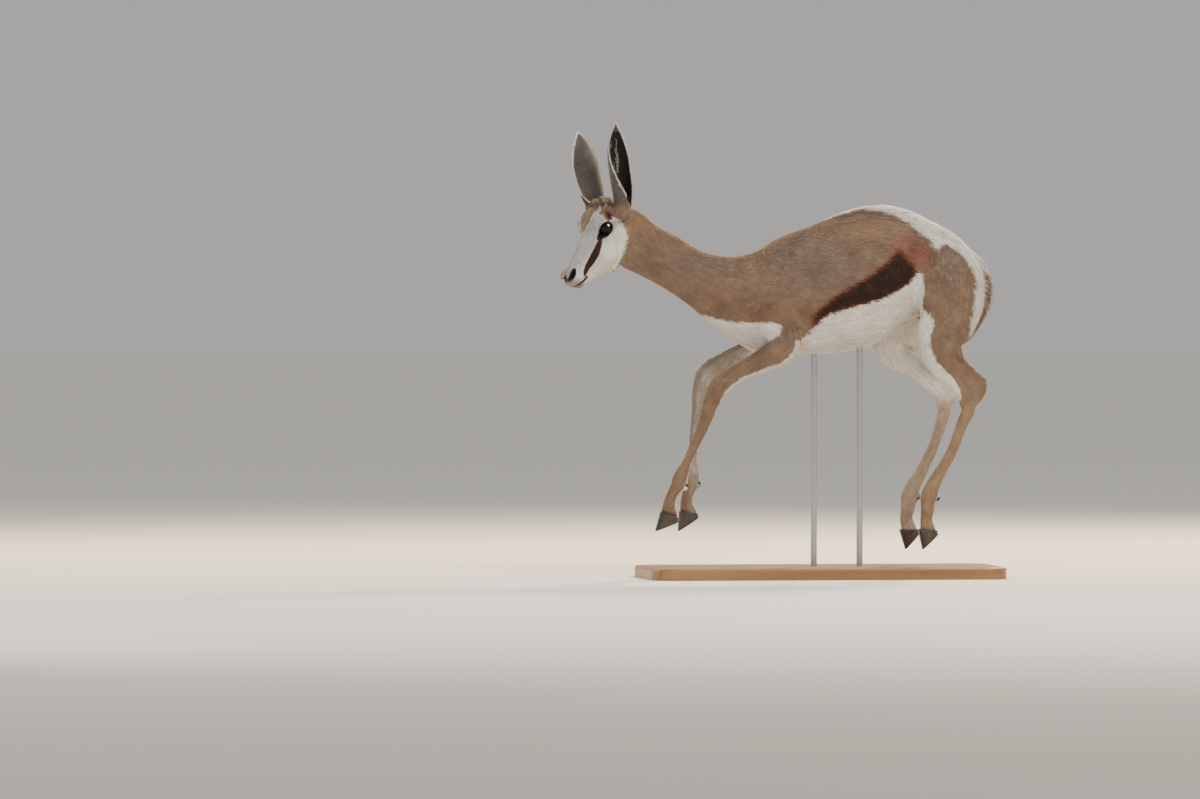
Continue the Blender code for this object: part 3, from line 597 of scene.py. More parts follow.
def mouth_path(points=25):
    """The line between the lips, from one corner round the front to the other."""
    turn = np.linspace(-math.pi / 2, math.pi / 2, points)
    bend = np.abs(np.sin(turn)) ** 1.6
    a = MOUTH_CORNER[0] + (MOUTH_FRONT[0] - MOUTH_CORNER[0]) * np.cos(turn)
    b = MOUTH_FRONT[1] + (MOUTH_CORNER[1] - MOUTH_FRONT[1]) * bend
    return np.column_stack([a, b, MOUTH_CORNER[2] * 1.02 * np.sin(turn)]), turn


def mouth_tool():
    """A thin bent blade that leaves the line between the lips."""
    path, turn = mouth_path()
    inward = np.column_stack([-np.cos(turn), 0 * turn, -np.sin(turn)]) @ HEAD_AXES.T
    return loft([ring(on_head(point), depth * 4.0, HEAD_AXES[:, 1] * 1.3, 0.0, 10)
                 for point, depth in zip(path, inward)])

# %% Melt and carve the head
SKULL_SIDES = 40
THROAT_SECTIONS = 16                 # the top of the neck, so that head and neck flow together
TONGUE_ROOT = ((-388, 0, 604), (28, 18, 17))             # in the model's frame
HEAD_MIDDLE = {"chin": ((102, -43, 0), (13, 7, 11)), "throat": ((9, -70, 0), (31, 21, 17))}
HEAD_PAIRS = {                       # centre on the head's left, and radii
    "brow": ((-3, 4, 18), (25, 22, 16)), "forehead": ((-10, 11, 15), (25, 22, 17)),
    "lids": (EYE_CENTRE, (LID_RADIUS,) * 3), "cheek": ((10, -42, 14), (32, 28, 14)),
    "cheek bone": ((-16, -16, 24), (30, 6, 8)), "nose wing": ((110, -12, 9), (13, 9, 9)),
    "upper lip": ((106, -28, 9), (17, 9, 10)), "ear root": ((-47, 0, 29), (18, 17, 14)),
    "horn root": ((-29, 30, 21), (9, 6, 9)),
}


def head_ball(centre, radii):
    """A ball of clay in the head's own frame."""
    return ellipsoid(on_head(centre), radii, HEAD_AXES)


def skull_sections(steps):
    """Rows of centre, up, half height, half width and egg from nape to nose."""
    return [(on_head((a, (top + bottom) / 2, 0.0)), HEAD_AXES[:, 1], (top - bottom) / 2, half, egg)
            for a, top, bottom, half, egg in spline(SKULL, steps)]


skull = [ring(c, up * high, HEAD_AXES[:, 2] * wide, egg, SKULL_SIDES)
         for c, up, high, wide, egg in skull_sections(LOFT_STEPS)]
shapes = [loft(skull), loft_of(trunk_sections(LOFT_STEPS)[:THROAT_SECTIONS], TRUNK_SIDES)]
shapes += [head_ball(centre, radii) for centre, radii in HEAD_MIDDLE.values()]
shapes.append(ellipsoid(*TONGUE_ROOT))
for way in (1, -1):
    shapes += [head_ball(twin(centre, way), radii) for centre, radii in HEAD_PAIRS.values()]
head = melted(gathered("head_form", shapes), HEAD_VOXEL, 4)
tools = [mouth_tool()]
for way in (1, -1):
    tools.append(ellipsoid(on_head(twin(EYE_CENTRE, way)), (EYE_RADIUS + 0.3,) * 3))
    tools.append(loft([lid_opening(way, reach, grow) for reach, grow in LID_FLARE]))
    tools.append(nostril_tool(way))
for tool in tools:
    carved(head, mesh_object("tool", *tool))
head = melted(head, FINE_VOXEL, 2)
print("head:", len(head.data.vertices), "points")

# %% [markdown]
# ## Ears
# An ear is a leaf of thin gristle rolled into a cup that opens towards its tip. It is drawn as
# a grid: one direction runs from root to tip, the other round the curl. The near ear turns on
# its own length, so the opening looks back at the root and out at the tip. Each shell is
# sunk into the head and joined with a Boolean, and the crease of the join is relaxed away.

# %% Ears on the head
EAR_ROOT = (-49.0, -3.0, 33.0)
EAR_LENGTH = 168.0
EAR_WAY = {1: (-0.088, -0.07, 0.994), -1: (-0.19, 0.41, 0.884)}
EAR_TWIST = {1: (-30.0, 14.0), -1: (-18.0, -18.0)}   # turn of the opening at root and tip
EAR_WALL = 2.0
EAR_BOW = 8.0
EAR_SUNK = 14.0
EAR_PROFILE = (                      # share of the length, half width, half curl in degrees
    (-0.085, 7.5, 158), (0.0, 15.0, 158), (0.14, 18.5, 142), (0.30, 22.5, 112), (0.45, 25.0, 92),
    (0.60, 25.5, 80), (0.74, 21.0, 70), (0.87, 12.4, 62), (0.96, 4.8, 56), (1.0, 1.2, 50),
)
EAR_CURVE = spline([(share * EAR_LENGTH, half, curl) for share, half, curl in EAR_PROFILE], 8)
EAR_PLUG = ((-14, 14.5), (12, 14.5), (20, 9.0), (26, 3.0))    # distance from the root, radius


def unit(rows):
    """Directions of length one."""
    return rows / np.linalg.norm(rows, axis=-1, keepdims=True)


def ear_section(way, reach):
    """Centre, opening, across, radius and half curl of an ear at distances from its root."""
    reach = np.atleast_1d(np.array(reach, dtype=float))
    length = unit(np.array(EAR_WAY[way]))
    outward = HEAD_AXES[:, 2] * way
    level = np.array([-math.cos(HEAD_YAW), -math.sin(HEAD_YAW), 0.0])
    half = np.interp(reach, EAR_CURVE[:, 0], EAR_CURVE[:, 1])
    bend = np.radians(np.interp(reach, EAR_CURVE[:, 0], EAR_CURVE[:, 2]))
    radius = half / np.sin(np.minimum(bend, math.pi / 2))
    turn = np.radians(np.interp(reach, (0.0, EAR_LENGTH), EAR_TWIST[way]))
    opening = np.outer(np.cos(turn), outward) + np.outer(np.sin(turn), level)
    opening = unit(opening - np.outer(opening @ length, length))
    bow = EAR_BOW * np.sin(math.pi * np.clip(reach / EAR_LENGTH, 0.0, 1.0))
    centre = on_head(twin(EAR_ROOT, way)) + np.outer(reach, length) + np.outer(bow, outward)
    return centre, opening, np.cross(length, opening), radius, bend

# %% Shell and plug of an ear
def ear_shell(way, high=64, wide=45):
    """A closed shell: an outer and an inner sheet with their rims joined."""
    reach = np.concatenate([[-EAR_SUNK], EAR_LENGTH * np.linspace(0, 1, high - 1) ** 0.9])
    centre, opening, across, radius, bend = ear_section(way, reach)
    v = np.linspace(-1.0, 1.0, wide)
    angle = np.outer(bend, v)[:, :, None]
    way_out = across[:, None] * np.sin(angle) - opening[:, None] * np.cos(angle)
    wall = np.minimum(EAR_WALL * (0.55 + 0.45 * np.sqrt(1 - v ** 4)), 0.55 * radius[:, None])
    sheets = [centre[:, None] + way_out * (radius[:, None] - 0.4 - depth)[:, :, None]
              for depth in (0.0, wall)]
    count = high * wide
    faces = []
    for i in range(high - 1):
        for k in range(i * wide, i * wide + wide - 1):
            faces.append((k, k + 1, k + wide + 1, k + wide))
            faces.append((count + k, count + k + wide, count + k + wide + 1, count + k + 1))
        for k in (i * wide, i * wide + wide - 1):
            faces.append((k, k + wide, count + k + wide, count + k))
    for j in range(wide - 1):
        for k in (j, (high - 1) * wide + j):
            faces.append((k, k + 1, count + k + 1, count + k))
    return np.vstack([sheet.reshape(-1, 3) for sheet in sheets]), faces


def ear_plug(way):
    """Fills the bottom of the cup."""
    rings = []
    for reach, radius in EAR_PLUG:
        centre, opening, across, _, _ = ear_section(way, reach)
        rings.append(ring(centre[0], across[0] * radius, opening[0] * radius, 0.0, 24))
    return loft(rings)

# %% Join the ears to the head
def corners_seen(thing):
    """The places of an object's points, to tell old ones from those that a join makes."""
    return {tuple(np.round(v.co, 7)) for v in thing.data.vertices}


def relaxed_near(thing, new_points, reach, times):
    """Smooths an object close to some of its points."""
    tree = KDTree(len(new_points))
    for index, point in enumerate(new_points):
        tree.insert(point, index)
    tree.balance()
    shape = bmesh.new()
    shape.from_mesh(thing.data)
    close = [v for v in shape.verts if tree.find(v.co)[2] < reach * MM]
    for _ in range(times):
        bmesh.ops.smooth_vert(shape, verts=close, factor=0.5, use_axis_x=True, use_axis_y=True,
                              use_axis_z=True)
    shape.to_mesh(thing.data)
    shape.free()


known = corners_seen(head)
for way in (1, -1):
    for part in (ear_shell(way), ear_plug(way)):
        piece = mesh_object("ear", *part)
        known |= corners_seen(piece)
        carved(head, piece, operation="UNION")
fresh = [v.co.copy() for v in head.data.vertices if tuple(np.round(v.co, 7)) not in known]
relaxed_near(head, fresh, 6.0, 10)
print("ears:", len(fresh), "points on the joins,", len(head.data.vertices), "points in head and ears")

# %% [markdown]
# ## One skin from nose to tail
# The fine head and the coarser body are cut along the same plane behind the ears, two
# millimetres apart, and the two rims are bridged. Rounds of relaxing near the join even
# out the surface, so no line shows there.

# %% Join head and body
def clipped(thing, point, normal, keep_ahead):
    """The part of a mesh on one side of a plane, as a bmesh in metres."""
    shape = bmesh.new()
    shape.from_mesh(thing.data)
    everything = shape.verts[:] + shape.edges[:] + shape.faces[:]
    bmesh.ops.bisect_plane(shape, geom=everything, dist=1e-7, plane_co=Vector(point * MM),
                           plane_no=Vector(normal), clear_outer=not keep_ahead, clear_inner=keep_ahead)
    bpy.data.objects.remove(thing)
    return shape


seam_point, seam_normal = HEAD_SEAM
seam_normal = seam_normal / np.linalg.norm(seam_normal)
whole = clipped(body, seam_point - seam_normal, seam_normal, False)
front_part = clipped(head, seam_point + seam_normal, seam_normal, True)
scratch = bpy.data.meshes.new("front part")
front_part.to_mesh(scratch)
front_part.free()
whole.from_mesh(scratch)
bpy.data.meshes.remove(scratch)
rim = [edge for edge in whole.edges if edge.is_boundary]
bmesh.ops.bridge_loops(whole, edges=rim)
bmesh.ops.triangulate(whole, faces=whole.faces)
whole.verts.ensure_lookup_table()
points = np.array([v.co[:] for v in whole.verts]) / MM
corners = np.array([[v.index for v in f.verts] for f in whole.faces])
still_open = sum(edge.is_boundary for edge in whole.edges)
whole.free()
print("skin:", len(points), "points,", len(corners), "triangles,", len(rim), "rim edges,",
      still_open, "left open")

# %% Relax the join
SEAM_REACH = 7.0


def edges_of(corners):
    """Each edge of the triangles once, as two point numbers."""
    pairs = np.sort(np.vstack([corners[:, [0, 1]], corners[:, [1, 2]], corners[:, [2, 0]]]), axis=1)
    return np.unique(pairs, axis=0)


def relaxed(values, edges, share, times):
    """Moves each row of values towards the mean of its neighbours, by share of the way."""
    count = len(values)
    valence = np.bincount(edges.ravel(), minlength=count)[:, None]
    for _ in range(times):
        total = np.column_stack([
            np.bincount(edges[:, 0], values[edges[:, 1], k], count)
            + np.bincount(edges[:, 1], values[edges[:, 0], k], count) for k in range(values.shape[1])])
        values = values + share * (total / np.maximum(valence, 1) - values)
    return values


edges = edges_of(corners)
from_seam = np.abs((points - seam_point) @ seam_normal)
points = relaxed(points, edges, 0.5 * np.exp(-(from_seam / SEAM_REACH) ** 2)[:, None], 20)
print("edges:", len(edges))

# %% [markdown]
# ## Reading a place on the animal
# Markings, the lie of the hair and the small swellings all depend on where a point is: how far
# down the leg, how far round it. Each limb is a chart of its own. A point takes the chart
# whose section it sits closest to, and reads there its station, its turn round the limb,
# and how far it stands to the rear (u) and outward (v) as a share of the section.

# %% Charts
CHART_STEPS = 8
OUTER_SIDE = {"left": -1.0, "right": 1.0}


def chart_of(sections, across):
    """A limb's sections as arrays, with the direction of the limb and the run along it."""
    centre = np.array([s[0] for s in sections])
    run = np.gradient(centre, axis=0)
    span = np.linalg.norm(run, axis=1)
    return {"centre": centre, "depth_way": np.array([s[1] for s in sections]), "across": across,
            "run": run / span[:, None], "span": span, "length": np.concatenate([[0], np.cumsum(span[:-1])]),
            "deep": np.array([s[2] for s in sections]), "wide": np.array([s[3] for s in sections])}


CHARTS = {"trunk": chart_of(trunk_sections(CHART_STEPS), -ACROSS),
          "head": chart_of(skull_sections(CHART_STEPS), HEAD_AXES[:, 2]),
          "tail": chart_of(limb_sections(TAIL, CHART_STEPS), -ACROSS)}
for leg in LEGS:
    outer_way = ACROSS * OUTER_SIDE[leg.split("_")[1]]
    CHARTS[leg] = chart_of(limb_sections(leg_stations(leg), CHART_STEPS), outer_way)
NAMES = list(CHARTS)
print("charts:", NAMES)

# %% Read the charts
PLACES_AT_ONCE = 8000

def read_charts(places):
    """For each place: chart number, station, u, v, run length and turn, and the limb's run."""
    best = np.full(len(places), np.inf)
    told = {key: np.zeros(len(places)) for key in ("chart", "station", "u", "v", "length", "turn", "girth")}
    told["run"] = np.zeros((len(places), 3))
    for number, chart in enumerate(CHARTS.values()):
        margin = 25.0 + max(chart["deep"].max(), chart["wide"].max())
        low = chart["centre"].min(axis=0) - margin
        high = chart["centre"].max(axis=0) + margin
        near = np.flatnonzero(((places > low) & (places < high)).all(axis=1))
        for part in np.array_split(near, max(1, len(near) // PLACES_AT_ONCE)):
            gap = places[part][:, None] - chart["centre"]
            u = np.einsum("ijk,jk->ij", gap, chart["depth_way"]) / chart["deep"]
            v = gap @ chart["across"] / chart["wide"]
            w = np.einsum("ijk,jk->ij", gap, chart["run"])
            score = u * u + v * v + (w / chart["wide"]) ** 2
            row = score.argmin(axis=1)
            pick = np.arange(len(part)), row
            won = score[pick] < best[part]
            index, row, pick = part[won], row[won], (pick[0][won], row[won])
            drift = np.clip(w[pick] / chart["span"][row], -0.5, 0.5)
            best[index] = score[pick]
            told["chart"][index] = number
            told["station"][index] = (row + drift) / CHART_STEPS
            told["length"][index] = chart["length"][row] + drift * chart["span"][row]
            told["u"][index] = u[pick]
            told["v"][index] = v[pick]
            told["turn"][index] = np.arctan2(v[pick], u[pick])
            told["girth"][index] = (chart["deep"][row] + chart["wide"][row]) / 2
            told["run"][index] = chart["run"][row]
    return told


told = read_charts(points)
print({name: int((told["chart"] == number).sum()) for number, name in enumerate(NAMES)})

# %% Soft steps, swellings and normals
def smooth_step(value, low, high):
    """0 below low and 1 above high, with a soft bend between."""
    share = np.clip((value - low) / (high - low), 0.0, 1.0)
    return share * share * (3 - 2 * share)


def swell(places, centre, spread):
    """1 at a centre and at its mirror on the other side, falling off over spread."""
    spread = np.broadcast_to(np.array(spread, dtype=float), 3)
    both = [((places - np.array(centre) * (1, side, 1)) / spread) ** 2 for side in (1, -1)]
    return np.maximum(np.exp(-both[0].sum(axis=1)), np.exp(-both[1].sum(axis=1)))


def normals_of(places, corners):
    """The outward direction at each point, weighted by the area of its triangles."""
    a, b, c = (places[corners[:, k]] for k in range(3))
    face = np.cross(b - a, c - a)
    total = np.column_stack([sum(np.bincount(corners[:, k], face[:, i], len(places)) for k in range(3))
                             for i in range(3)])
    return unit(total + 1e-12)

# %% [markdown]
# ## Muscle and bone under the skin
# Without its small hollows a body looks like a balloon. Each entry below is one swelling or
# hollow that a hand would find: behind the shoulder, in the flank, along the ham, over knee
# and hock. They are a millimetre or a few deep, so the outline stays that of the solids.

# %% Relief
BODY_RELIEF = (                      # place, spread, height
    ((-5, 84, 560), 28, -3.0), ((-118, 52, 560), 22, -3.0), ((-30, 45, 640), 16, 1.6),
    ((-50, 58, 600), 18, 1.8), ((-85, 66, 520), 20, 2.0), ((150, 72, 630), 24, -4.0),
    ((185, 60, 640), 12, 4.0), ((172, 60, 520), 22, -4.0), ((265, 62, 600), 10, -2.0),
    ((264, 66, 550), 10, -2.0), ((262, 70, 500), 10, -1.6), ((205, 70, 462), 16, 2.5),
    ((-62, 72, 462), 11, 3.0), ((-360, 22, 605), 10, -2.0), ((-310, 26, 585), 11, -2.5),
    ((-262, 30, 556), 12, -2.5), ((-215, 36, 530), 12, -2.0), ((-300, 30, 612), 16, 1.5),
    ((-235, 34, 580), 18, 1.5), ((30, 84, 560), 14, 0.8), ((70, 86, 560), 14, 0.8),
)
LEG_RELIEF = {                       # station, turn and their spreads, height; turn 0 is the rear
    "fore": ((4.3, 180, 0.5, 35, 2.0), (4.3, 95, 0.3, 25, -1.2), (4.3, -95, 0.3, 25, -1.2),
             (3.9, 0, 0.30, 30, 2.5), (7.3, 52, 1.3, 18, -1.3), (7.3, -52, 1.3, 18, -1.3),
             (9.8, 35, 0.35, 22, 1.5), (9.8, -35, 0.35, 22, 1.5), (9.0, 180, 0.3, 40, -0.8),
             (11.4, 0, 0.5, 40, -2.0), (12.9, 180, 0.3, 120, 1.0)),
    "hind": ((7.6, 75, 0.4, 25, -2.0), (7.6, -75, 0.4, 25, -2.0), (8.6, 180, 0.4, 40, 1.5),
             (11.3, 52, 1.3, 18, -1.3), (11.3, -52, 1.3, 18, -1.3), (14.0, 35, 0.35, 22, 1.5),
             (14.0, -35, 0.35, 22, 1.5), (15.6, 0, 0.5, 40, -2.0), (17.0, 180, 0.3, 120, 1.0)),
}
COAT_DEPTH = {"body": 1.2, "head": 0.55, "foot": 0.7}
EAR_FOOT = 742                       # the ears' thin walls, above this height, keep their full size


def on_chart(name):
    """Which points of the skin belong to a chart."""
    return told["chart"] == NAMES.index(name)


lift = sum(height * swell(points, centre, spread) for centre, spread, height in BODY_RELIEF)
lift = lift * (1 - on_chart("head"))
degrees = np.degrees(told["turn"])
for leg in LEGS:
    bump = np.zeros(len(points))
    for station, turn, station_spread, turn_spread, height in LEG_RELIEF[leg[:4]]:
        off = (degrees - turn + 180) % 360 - 180
        gap = (told["station"] - station) / station_spread
        bump += height * np.exp(-gap ** 2 - (off / turn_spread) ** 2)
    lift += bump * on_chart(leg)
foot = np.zeros(len(points))
for leg in LEGS:
    foot += on_chart(leg) * smooth_step(told["station"], 4.0, 7.0)
ahead_of_seam = (points - seam_point) @ seam_normal
face = smooth_step(ahead_of_seam, -5.0, 25.0)
depth = COAT_DEPTH["body"] + (COAT_DEPTH["head"] - COAT_DEPTH["body"]) * face
depth += (COAT_DEPTH["foot"] - COAT_DEPTH["body"]) * foot
depth = np.where(points[:, 2] > EAR_FOOT, 0.0, depth)
outward = normals_of(points, corners)
points = points + outward * relaxed((lift - depth)[:, None], edges, 0.5, 4)
under_crown = np.full(len(points), -99.0)
for leg in LEGS:
    crown = np.array(LEGS[leg][0][-1], dtype=float)
    front, down = hoof_axes(leg)
    gap = points - crown
    below = np.where(on_chart(leg) & (told["station"] > 9), gap @ down, -99.0)
    under_crown = np.maximum(under_crown, below)
    sunk = smooth_step(below, -3.0, 3.0)[:, None]
    straight = np.outer(gap @ down, down)
    tucked = crown + straight * (1 - 0.5 * sunk) + (gap - straight) * (1 - 0.26 * sunk)
    points = np.where(sunk > 0, tucked, points)
outward = normals_of(points, corners)
print("relief from", round(lift.min(), 1), "to", round(lift.max(), 1), "mm")

# %% [markdown]
# ## The markings
# A springbok is sandy brown above and white below, with a dark band between, a white face
# with a dark stripe from eye to mouth, and a white fan of long hair on the rump. Each marking
# is kept as a number at every point of the skin: its distance in millimetres inside the edge
# of the marking. The shader turns that distance into a soft edge and roughens it with noise, and
# the tufts of hair take the same numbers from where they grow.

# %% Lines of the markings
BAND_TOP = ((-45, 478), (-25, 503), (-5, 521), (25, 543), (56, 561), (81, 575), (106, 593),
            (126, 613), (140, 625))
BAND_FOOT = ((-45, 454), (-40, 460), (-19, 482), (0, 501), (33, 511), (71, 521), (100, 529), (126, 541),
             (152, 556), (171, 579), (184, 586))
THIGH_FRONT = ((380, 254), (397, 235), (442, 202), (469, 196), (504, 184.5), (553, 188),
               (580, 183), (640, 176))
CHEST_LINE = ((-262, 514), (-241, 503), (-170, 488), (-122, 487), (-60, 487))
CHEST_REAR = ((400, -150), (429, -130), (459, -100), (471, -87), (479, -88), (487, -100))
FAN_HALF = ((-12, 0), (8, 6), (45, 14), (98, 25), (130, 34), (159, 44), (184, 55), (230, 66), (300, 74))
RUMP_FRONT = ((477, 277), (491, 277), (510, 281), (539, 283), (566, 287), (589, 279), (612, 264),
              (629, 243), (646, 218), (700, 180))
HAM_FRONT = ((2.6, -0.757), (3.4, -0.47), (4.3, -0.41), (5.4, -0.1), (6.2, 0.05), (7.0, -0.3),
             (7.8, -0.75), (8.4, -2.0))
REAR_EDGE = ((0.4, 0.62), (4.2, 0.62), (5.0, 0.86), (9.0, 0.82), (10.4, 0.66), (12.4, 0.70), (13.0, 0.95))
REAR_EDGE_HIND = ((9.0, 1.1), (10.0, 0.88), (13.0, 0.82), (14.4, 0.66), (16.4, 0.70), (17.0, 0.95))
DEWCLAWS = {"fore": 9.8, "hind": 14.0}      # stations; both sit 35 degrees from the rear
CHEEK_REAR = ((-110, -8), (-98, -14), (-71, -17), (-32, -27), (-18, -34), (-8, -32), (6, -24), (16, -27),
              (27, -35), (40, -35))
BROW_HALF = ((-60, 32), (-45, 26), (-23, 19), (1.5, 14), (27, 7), (33, 0))
CHEEK_STRIPE = ((18, -4, 3.0), (26, -8, 6.2), (41, -17, 9.6), (60.6, -22.6, 9.2), (78.7, -24.8, 7.6),
                (97, -31, 5.0))
TAIL_BROWN_TOP = 585                 # the tail is white above this height, brown behind below it
TAIL_TUFT_TOP = 500
HOCK_TOP = 425                       # skin of the hocks that lies nearest the trunk's own chart
HOCK_FRONT = 150
HEAD_EDGE = 2.0                      # edges on the face are drawn this many times sharper


def along_line(line, place):
    """The second number of a drawn line where its first one is place."""
    rows = np.array(sorted(line), dtype=float)
    return np.interp(place, rows[:, 0], rows[:, 1])


def from_path(places, path):
    """Distance from each place to the nearest point of a path."""
    gap = np.full(len(places), np.inf)
    for step in path:
        gap = np.minimum(gap, np.linalg.norm(places - step, axis=1))
    return gap


print("flank band from", BAND_TOP[0][0], "to", BAND_TOP[-1][0], "mm along the body")

# %% Markings of the trunk
x, y, z = points.T
u, v, station = told["u"], told["v"], told["station"]
on_trunk = on_chart("trunk") | on_chart("tail")
deep = told["girth"]
marks = {}
belly = np.minimum(along_line(BAND_FOOT, x) - z, along_line(THIGH_FRONT, z) - x)
belly = np.minimum(belly, x + 44)
under = np.minimum.reduce([(-u - 0.80) * 60, x + 200, 42 - np.abs(y)])
chest = np.minimum.reduce([along_line(CHEST_LINE, x) - z, x + 262, along_line(CHEST_REAR, z) - x])
fan = np.where(u > 0, 0.6 * np.minimum(along_line(FAN_HALF, x) - np.abs(y), x + 12), -40.0)
rump = 0.5 * (x - along_line(RUMP_FRONT, z)) - 0.6 * np.maximum(0.0, 440 - z)
marks["white"] = np.where(on_trunk, np.maximum.reduce([belly, under, chest, fan, rump]), -30.0)
hocks = on_trunk & (z < HOCK_TOP) & (x > HOCK_FRONT)
marks["white"] = np.where(hocks, 2.0 * (46 - np.abs(y)), marks["white"])
marks["dark"] = np.minimum.reduce([along_line(BAND_TOP, x) - z, z - along_line(BAND_FOOT, x),
                                   (x + 27) * 0.6, -0.777 * (x - 156) - 0.63 * (z - 602)])
print("trunk: white at", int((marks["white"] > 0).sum()), "points")

# %% Markings of the legs
for leg in LEGS:
    here = on_chart(leg)
    if leg.startswith("hind"):
        upper = np.maximum(along_line(THIGH_FRONT, z) - x, rump)
        strip = (along_line(HAM_FRONT, station) - u) * deep
        outer = np.where(station < 2.6, upper, np.maximum(strip, np.where(station < 4, rump, -30.0)))
        inner = (-v - 0.15 + 0.1 * smooth_step(u, 0.7, 1.2)) * deep
        edge = np.where(station > 9.8, (u - along_line(REAR_EDGE_HIND, station)) * deep, -30.0)
        field = np.maximum.reduce([outer, inner, edge])
        marks["dark"] = np.where(here & (station > 1.2), -30.0, marks["dark"])
    else:
        edge = np.where(station > 0.4, (u - along_line(REAR_EDGE, station)) * deep, -30.0)
        inner = np.minimum(-v - 0.15, u + np.interp(station, (8.4, 9.6), (0.55, -1.3))) * deep
        upper = np.maximum.reduce([chest, edge, inner, np.where(v < 0.2, belly, -30.0)])
        field = np.where(station < 1.0, upper, np.maximum(edge, inner))
        marks["dark"] = np.where(here, -30.0, marks["dark"])
    marks["white"] = np.where(here, field, marks["white"])
print("with the legs:", int((marks["white"] > 0).sum()), "points")

# %% Broken edge of the fan, and the tail
blotches = relaxed(DRAW.normal(0.0, 1.0, (len(points), 1)), edges, 0.6, 8)[:, 0]
blotches /= blotches.std()
marks["white"] -= 11.0 * np.exp(-(y / 14) ** 2) * np.clip(blotches, 0, 2) * (u > 0) * on_trunk
tail_path = np.array(CHARTS["tail"]["centre"][6:])
tail_gap = from_path(points, tail_path)
order = np.argsort(tail_path[:, 2])
tail_rear = x - np.interp(z, tail_path[order, 2], tail_path[order, 0])
tail_brown = np.minimum((TAIL_BROWN_TOP - z) * 0.25, tail_rear + 3.0)
marks["white"] = np.where(tail_gap < 16, np.minimum(12.0, -tail_brown), marks["white"])
marks["dark"] = np.where(tail_gap < 16, np.minimum(tail_brown, (TAIL_TUFT_TOP - z) * 0.2), marks["dark"])
marks["white"] *= 1 + 1.5 * foot
marks["dark"] = np.where(np.abs(y) < 30, -30.0, marks["dark"])
print("with the tail:", int((marks["white"] > 0).sum()), "of", len(points), "points")

# %% Warm, grey and golden areas
TINTS = {                            # share, place and spread of each area
    "warm": ((0.95, (160, 60, 618), (46, 60, 38)), (0.5, (110, 70, 585), (50, 60, 16)),
             (0.5, (-120, 60, 508), (62, 60, 20)), (0.45, (-20, 70, 500), (34, 60, 30)),
             (0.3, (-200, 40, 530), (60, 60, 20))),
    "cool": ((0.6, (0, 60, 590), (120, 80, 55)), (0.5, (-250, 0, 600), (100, 70, 34)),
             (0.6, (235, 60, 590), (30, 60, 70))),
    "gold": ((0.6, (85, 50, 655), (60, 60, 26)), (0.8, (-350, 0, 675), (50, 50, 30)),
             (0.5, (-160, 0, 610), (60, 40, 20))),
}
for name, areas in TINTS.items():
    marks[name] = sum(share * swell(points, centre, spread) for share, centre, spread in areas).clip(0, 1)
for name in ("cool", "gold"):
    marks[name] *= 1 - on_chart("head")
marks["leg"] = foot.copy()
marks["ear"] = np.zeros(len(points))
marks["black"] = np.full(len(points), -20.0)
for name in ("lip", "dust", "straw", "ash"):
    marks[name] = np.zeros(len(points))
print("marks:", ", ".join(marks))

# %% Markings of the head
on_face = np.flatnonzero(ahead_of_seam > -40)
a, b, c = in_head(points[on_face]).T
side = np.abs(c)
cheek = 0.5 * (a - along_line(CHEEK_REAR, b))
temple = np.maximum.reduce([a + 9, 21 - side, 9 - b])
from_middle = np.abs(c + 5) * np.where(c < -5, 0.8, 1.0)
brow = np.maximum.reduce([from_middle - along_line(BROW_HALF, a), a - 33, 2 - b])
stripe = np.array(CHEEK_STRIPE)
cheek_dark = np.interp(a, stripe[:, 0], stripe[:, 2]) - np.abs(b - np.interp(a, stripe[:, 0], stripe[:, 1]))
cheek_dark = np.minimum.reduce([cheek_dark, a - 16, 97 - a, side - 6])
temple_dark = 1.0 - np.sqrt(((a + 21) / 7) ** 2 + ((b - 11) / 11) ** 2 + ((side - 26) / 14) ** 2)
temple_dark *= 6.0
face_dark = np.maximum(cheek_dark, temple_dark)
face_white = np.minimum.reduce([cheek, temple, brow, 1.0 - face_dark]) * HEAD_EDGE
blend = smooth_step(ahead_of_seam[on_face], 0.0, 12.0)
marks["white"][on_face] = face_white * blend + np.maximum(marks["white"][on_face], -9.0) * (1 - blend)
marks["dark"][on_face] = np.where(ahead_of_seam[on_face] > 2, face_dark * HEAD_EDGE, -30.0)
print("head and throat:", len(on_face), "points")

# %% Nostrils, lids and lips
black = np.full(len(on_face), -20.0)
places = in_head(points[on_face])
for way in (1, -1):
    path, radius = nostril_path(way, 20)
    inward = unit(np.array([-0.35, 0.0, -0.95 * way]))
    for point, size in zip(path, radius):
        gap = places - point
        deep_in = gap @ inward
        flat = np.linalg.norm(gap - np.outer(deep_in, inward), axis=1)
        within = (deep_in > -4) & (deep_in < 4.5 * size)
        black = np.maximum(black, np.where(within, 1.05 * size + 0.8 - flat, -20.0))
    gaze, along, above = gaze_axes(way)
    gap = places - twin(EYE_CENTRE, way)
    reach, ahead, high = gap @ gaze, gap @ along, gap @ above
    turn = np.arctan2(high / LID_OPENING[1], ahead / LID_OPENING[0])
    limit = np.hypot(LID_OPENING[0] * np.cos(turn) + tear_duct(turn), LID_OPENING[1] * np.sin(turn))
    limit *= lid_flare(reach)
    rim = np.where((reach > 3) & (reach < 26), limit - np.hypot(ahead, high) + 1.3, -20.0)
    black = np.maximum(black, rim)
bend = np.clip(1 - ((a - MOUTH_CORNER[0]) / (MOUTH_FRONT[0] - MOUTH_CORNER[0])) ** 2, 0, 1)
lips_at = MOUTH_FRONT[1] + (MOUTH_CORNER[1] - MOUTH_FRONT[1]) * bend ** 0.8
black = np.maximum(black, np.where(a > MOUTH_CORNER[0] - 1, 2.9 - np.abs(b - lips_at), -20.0))
marks["black"][on_face] = black * 1.5
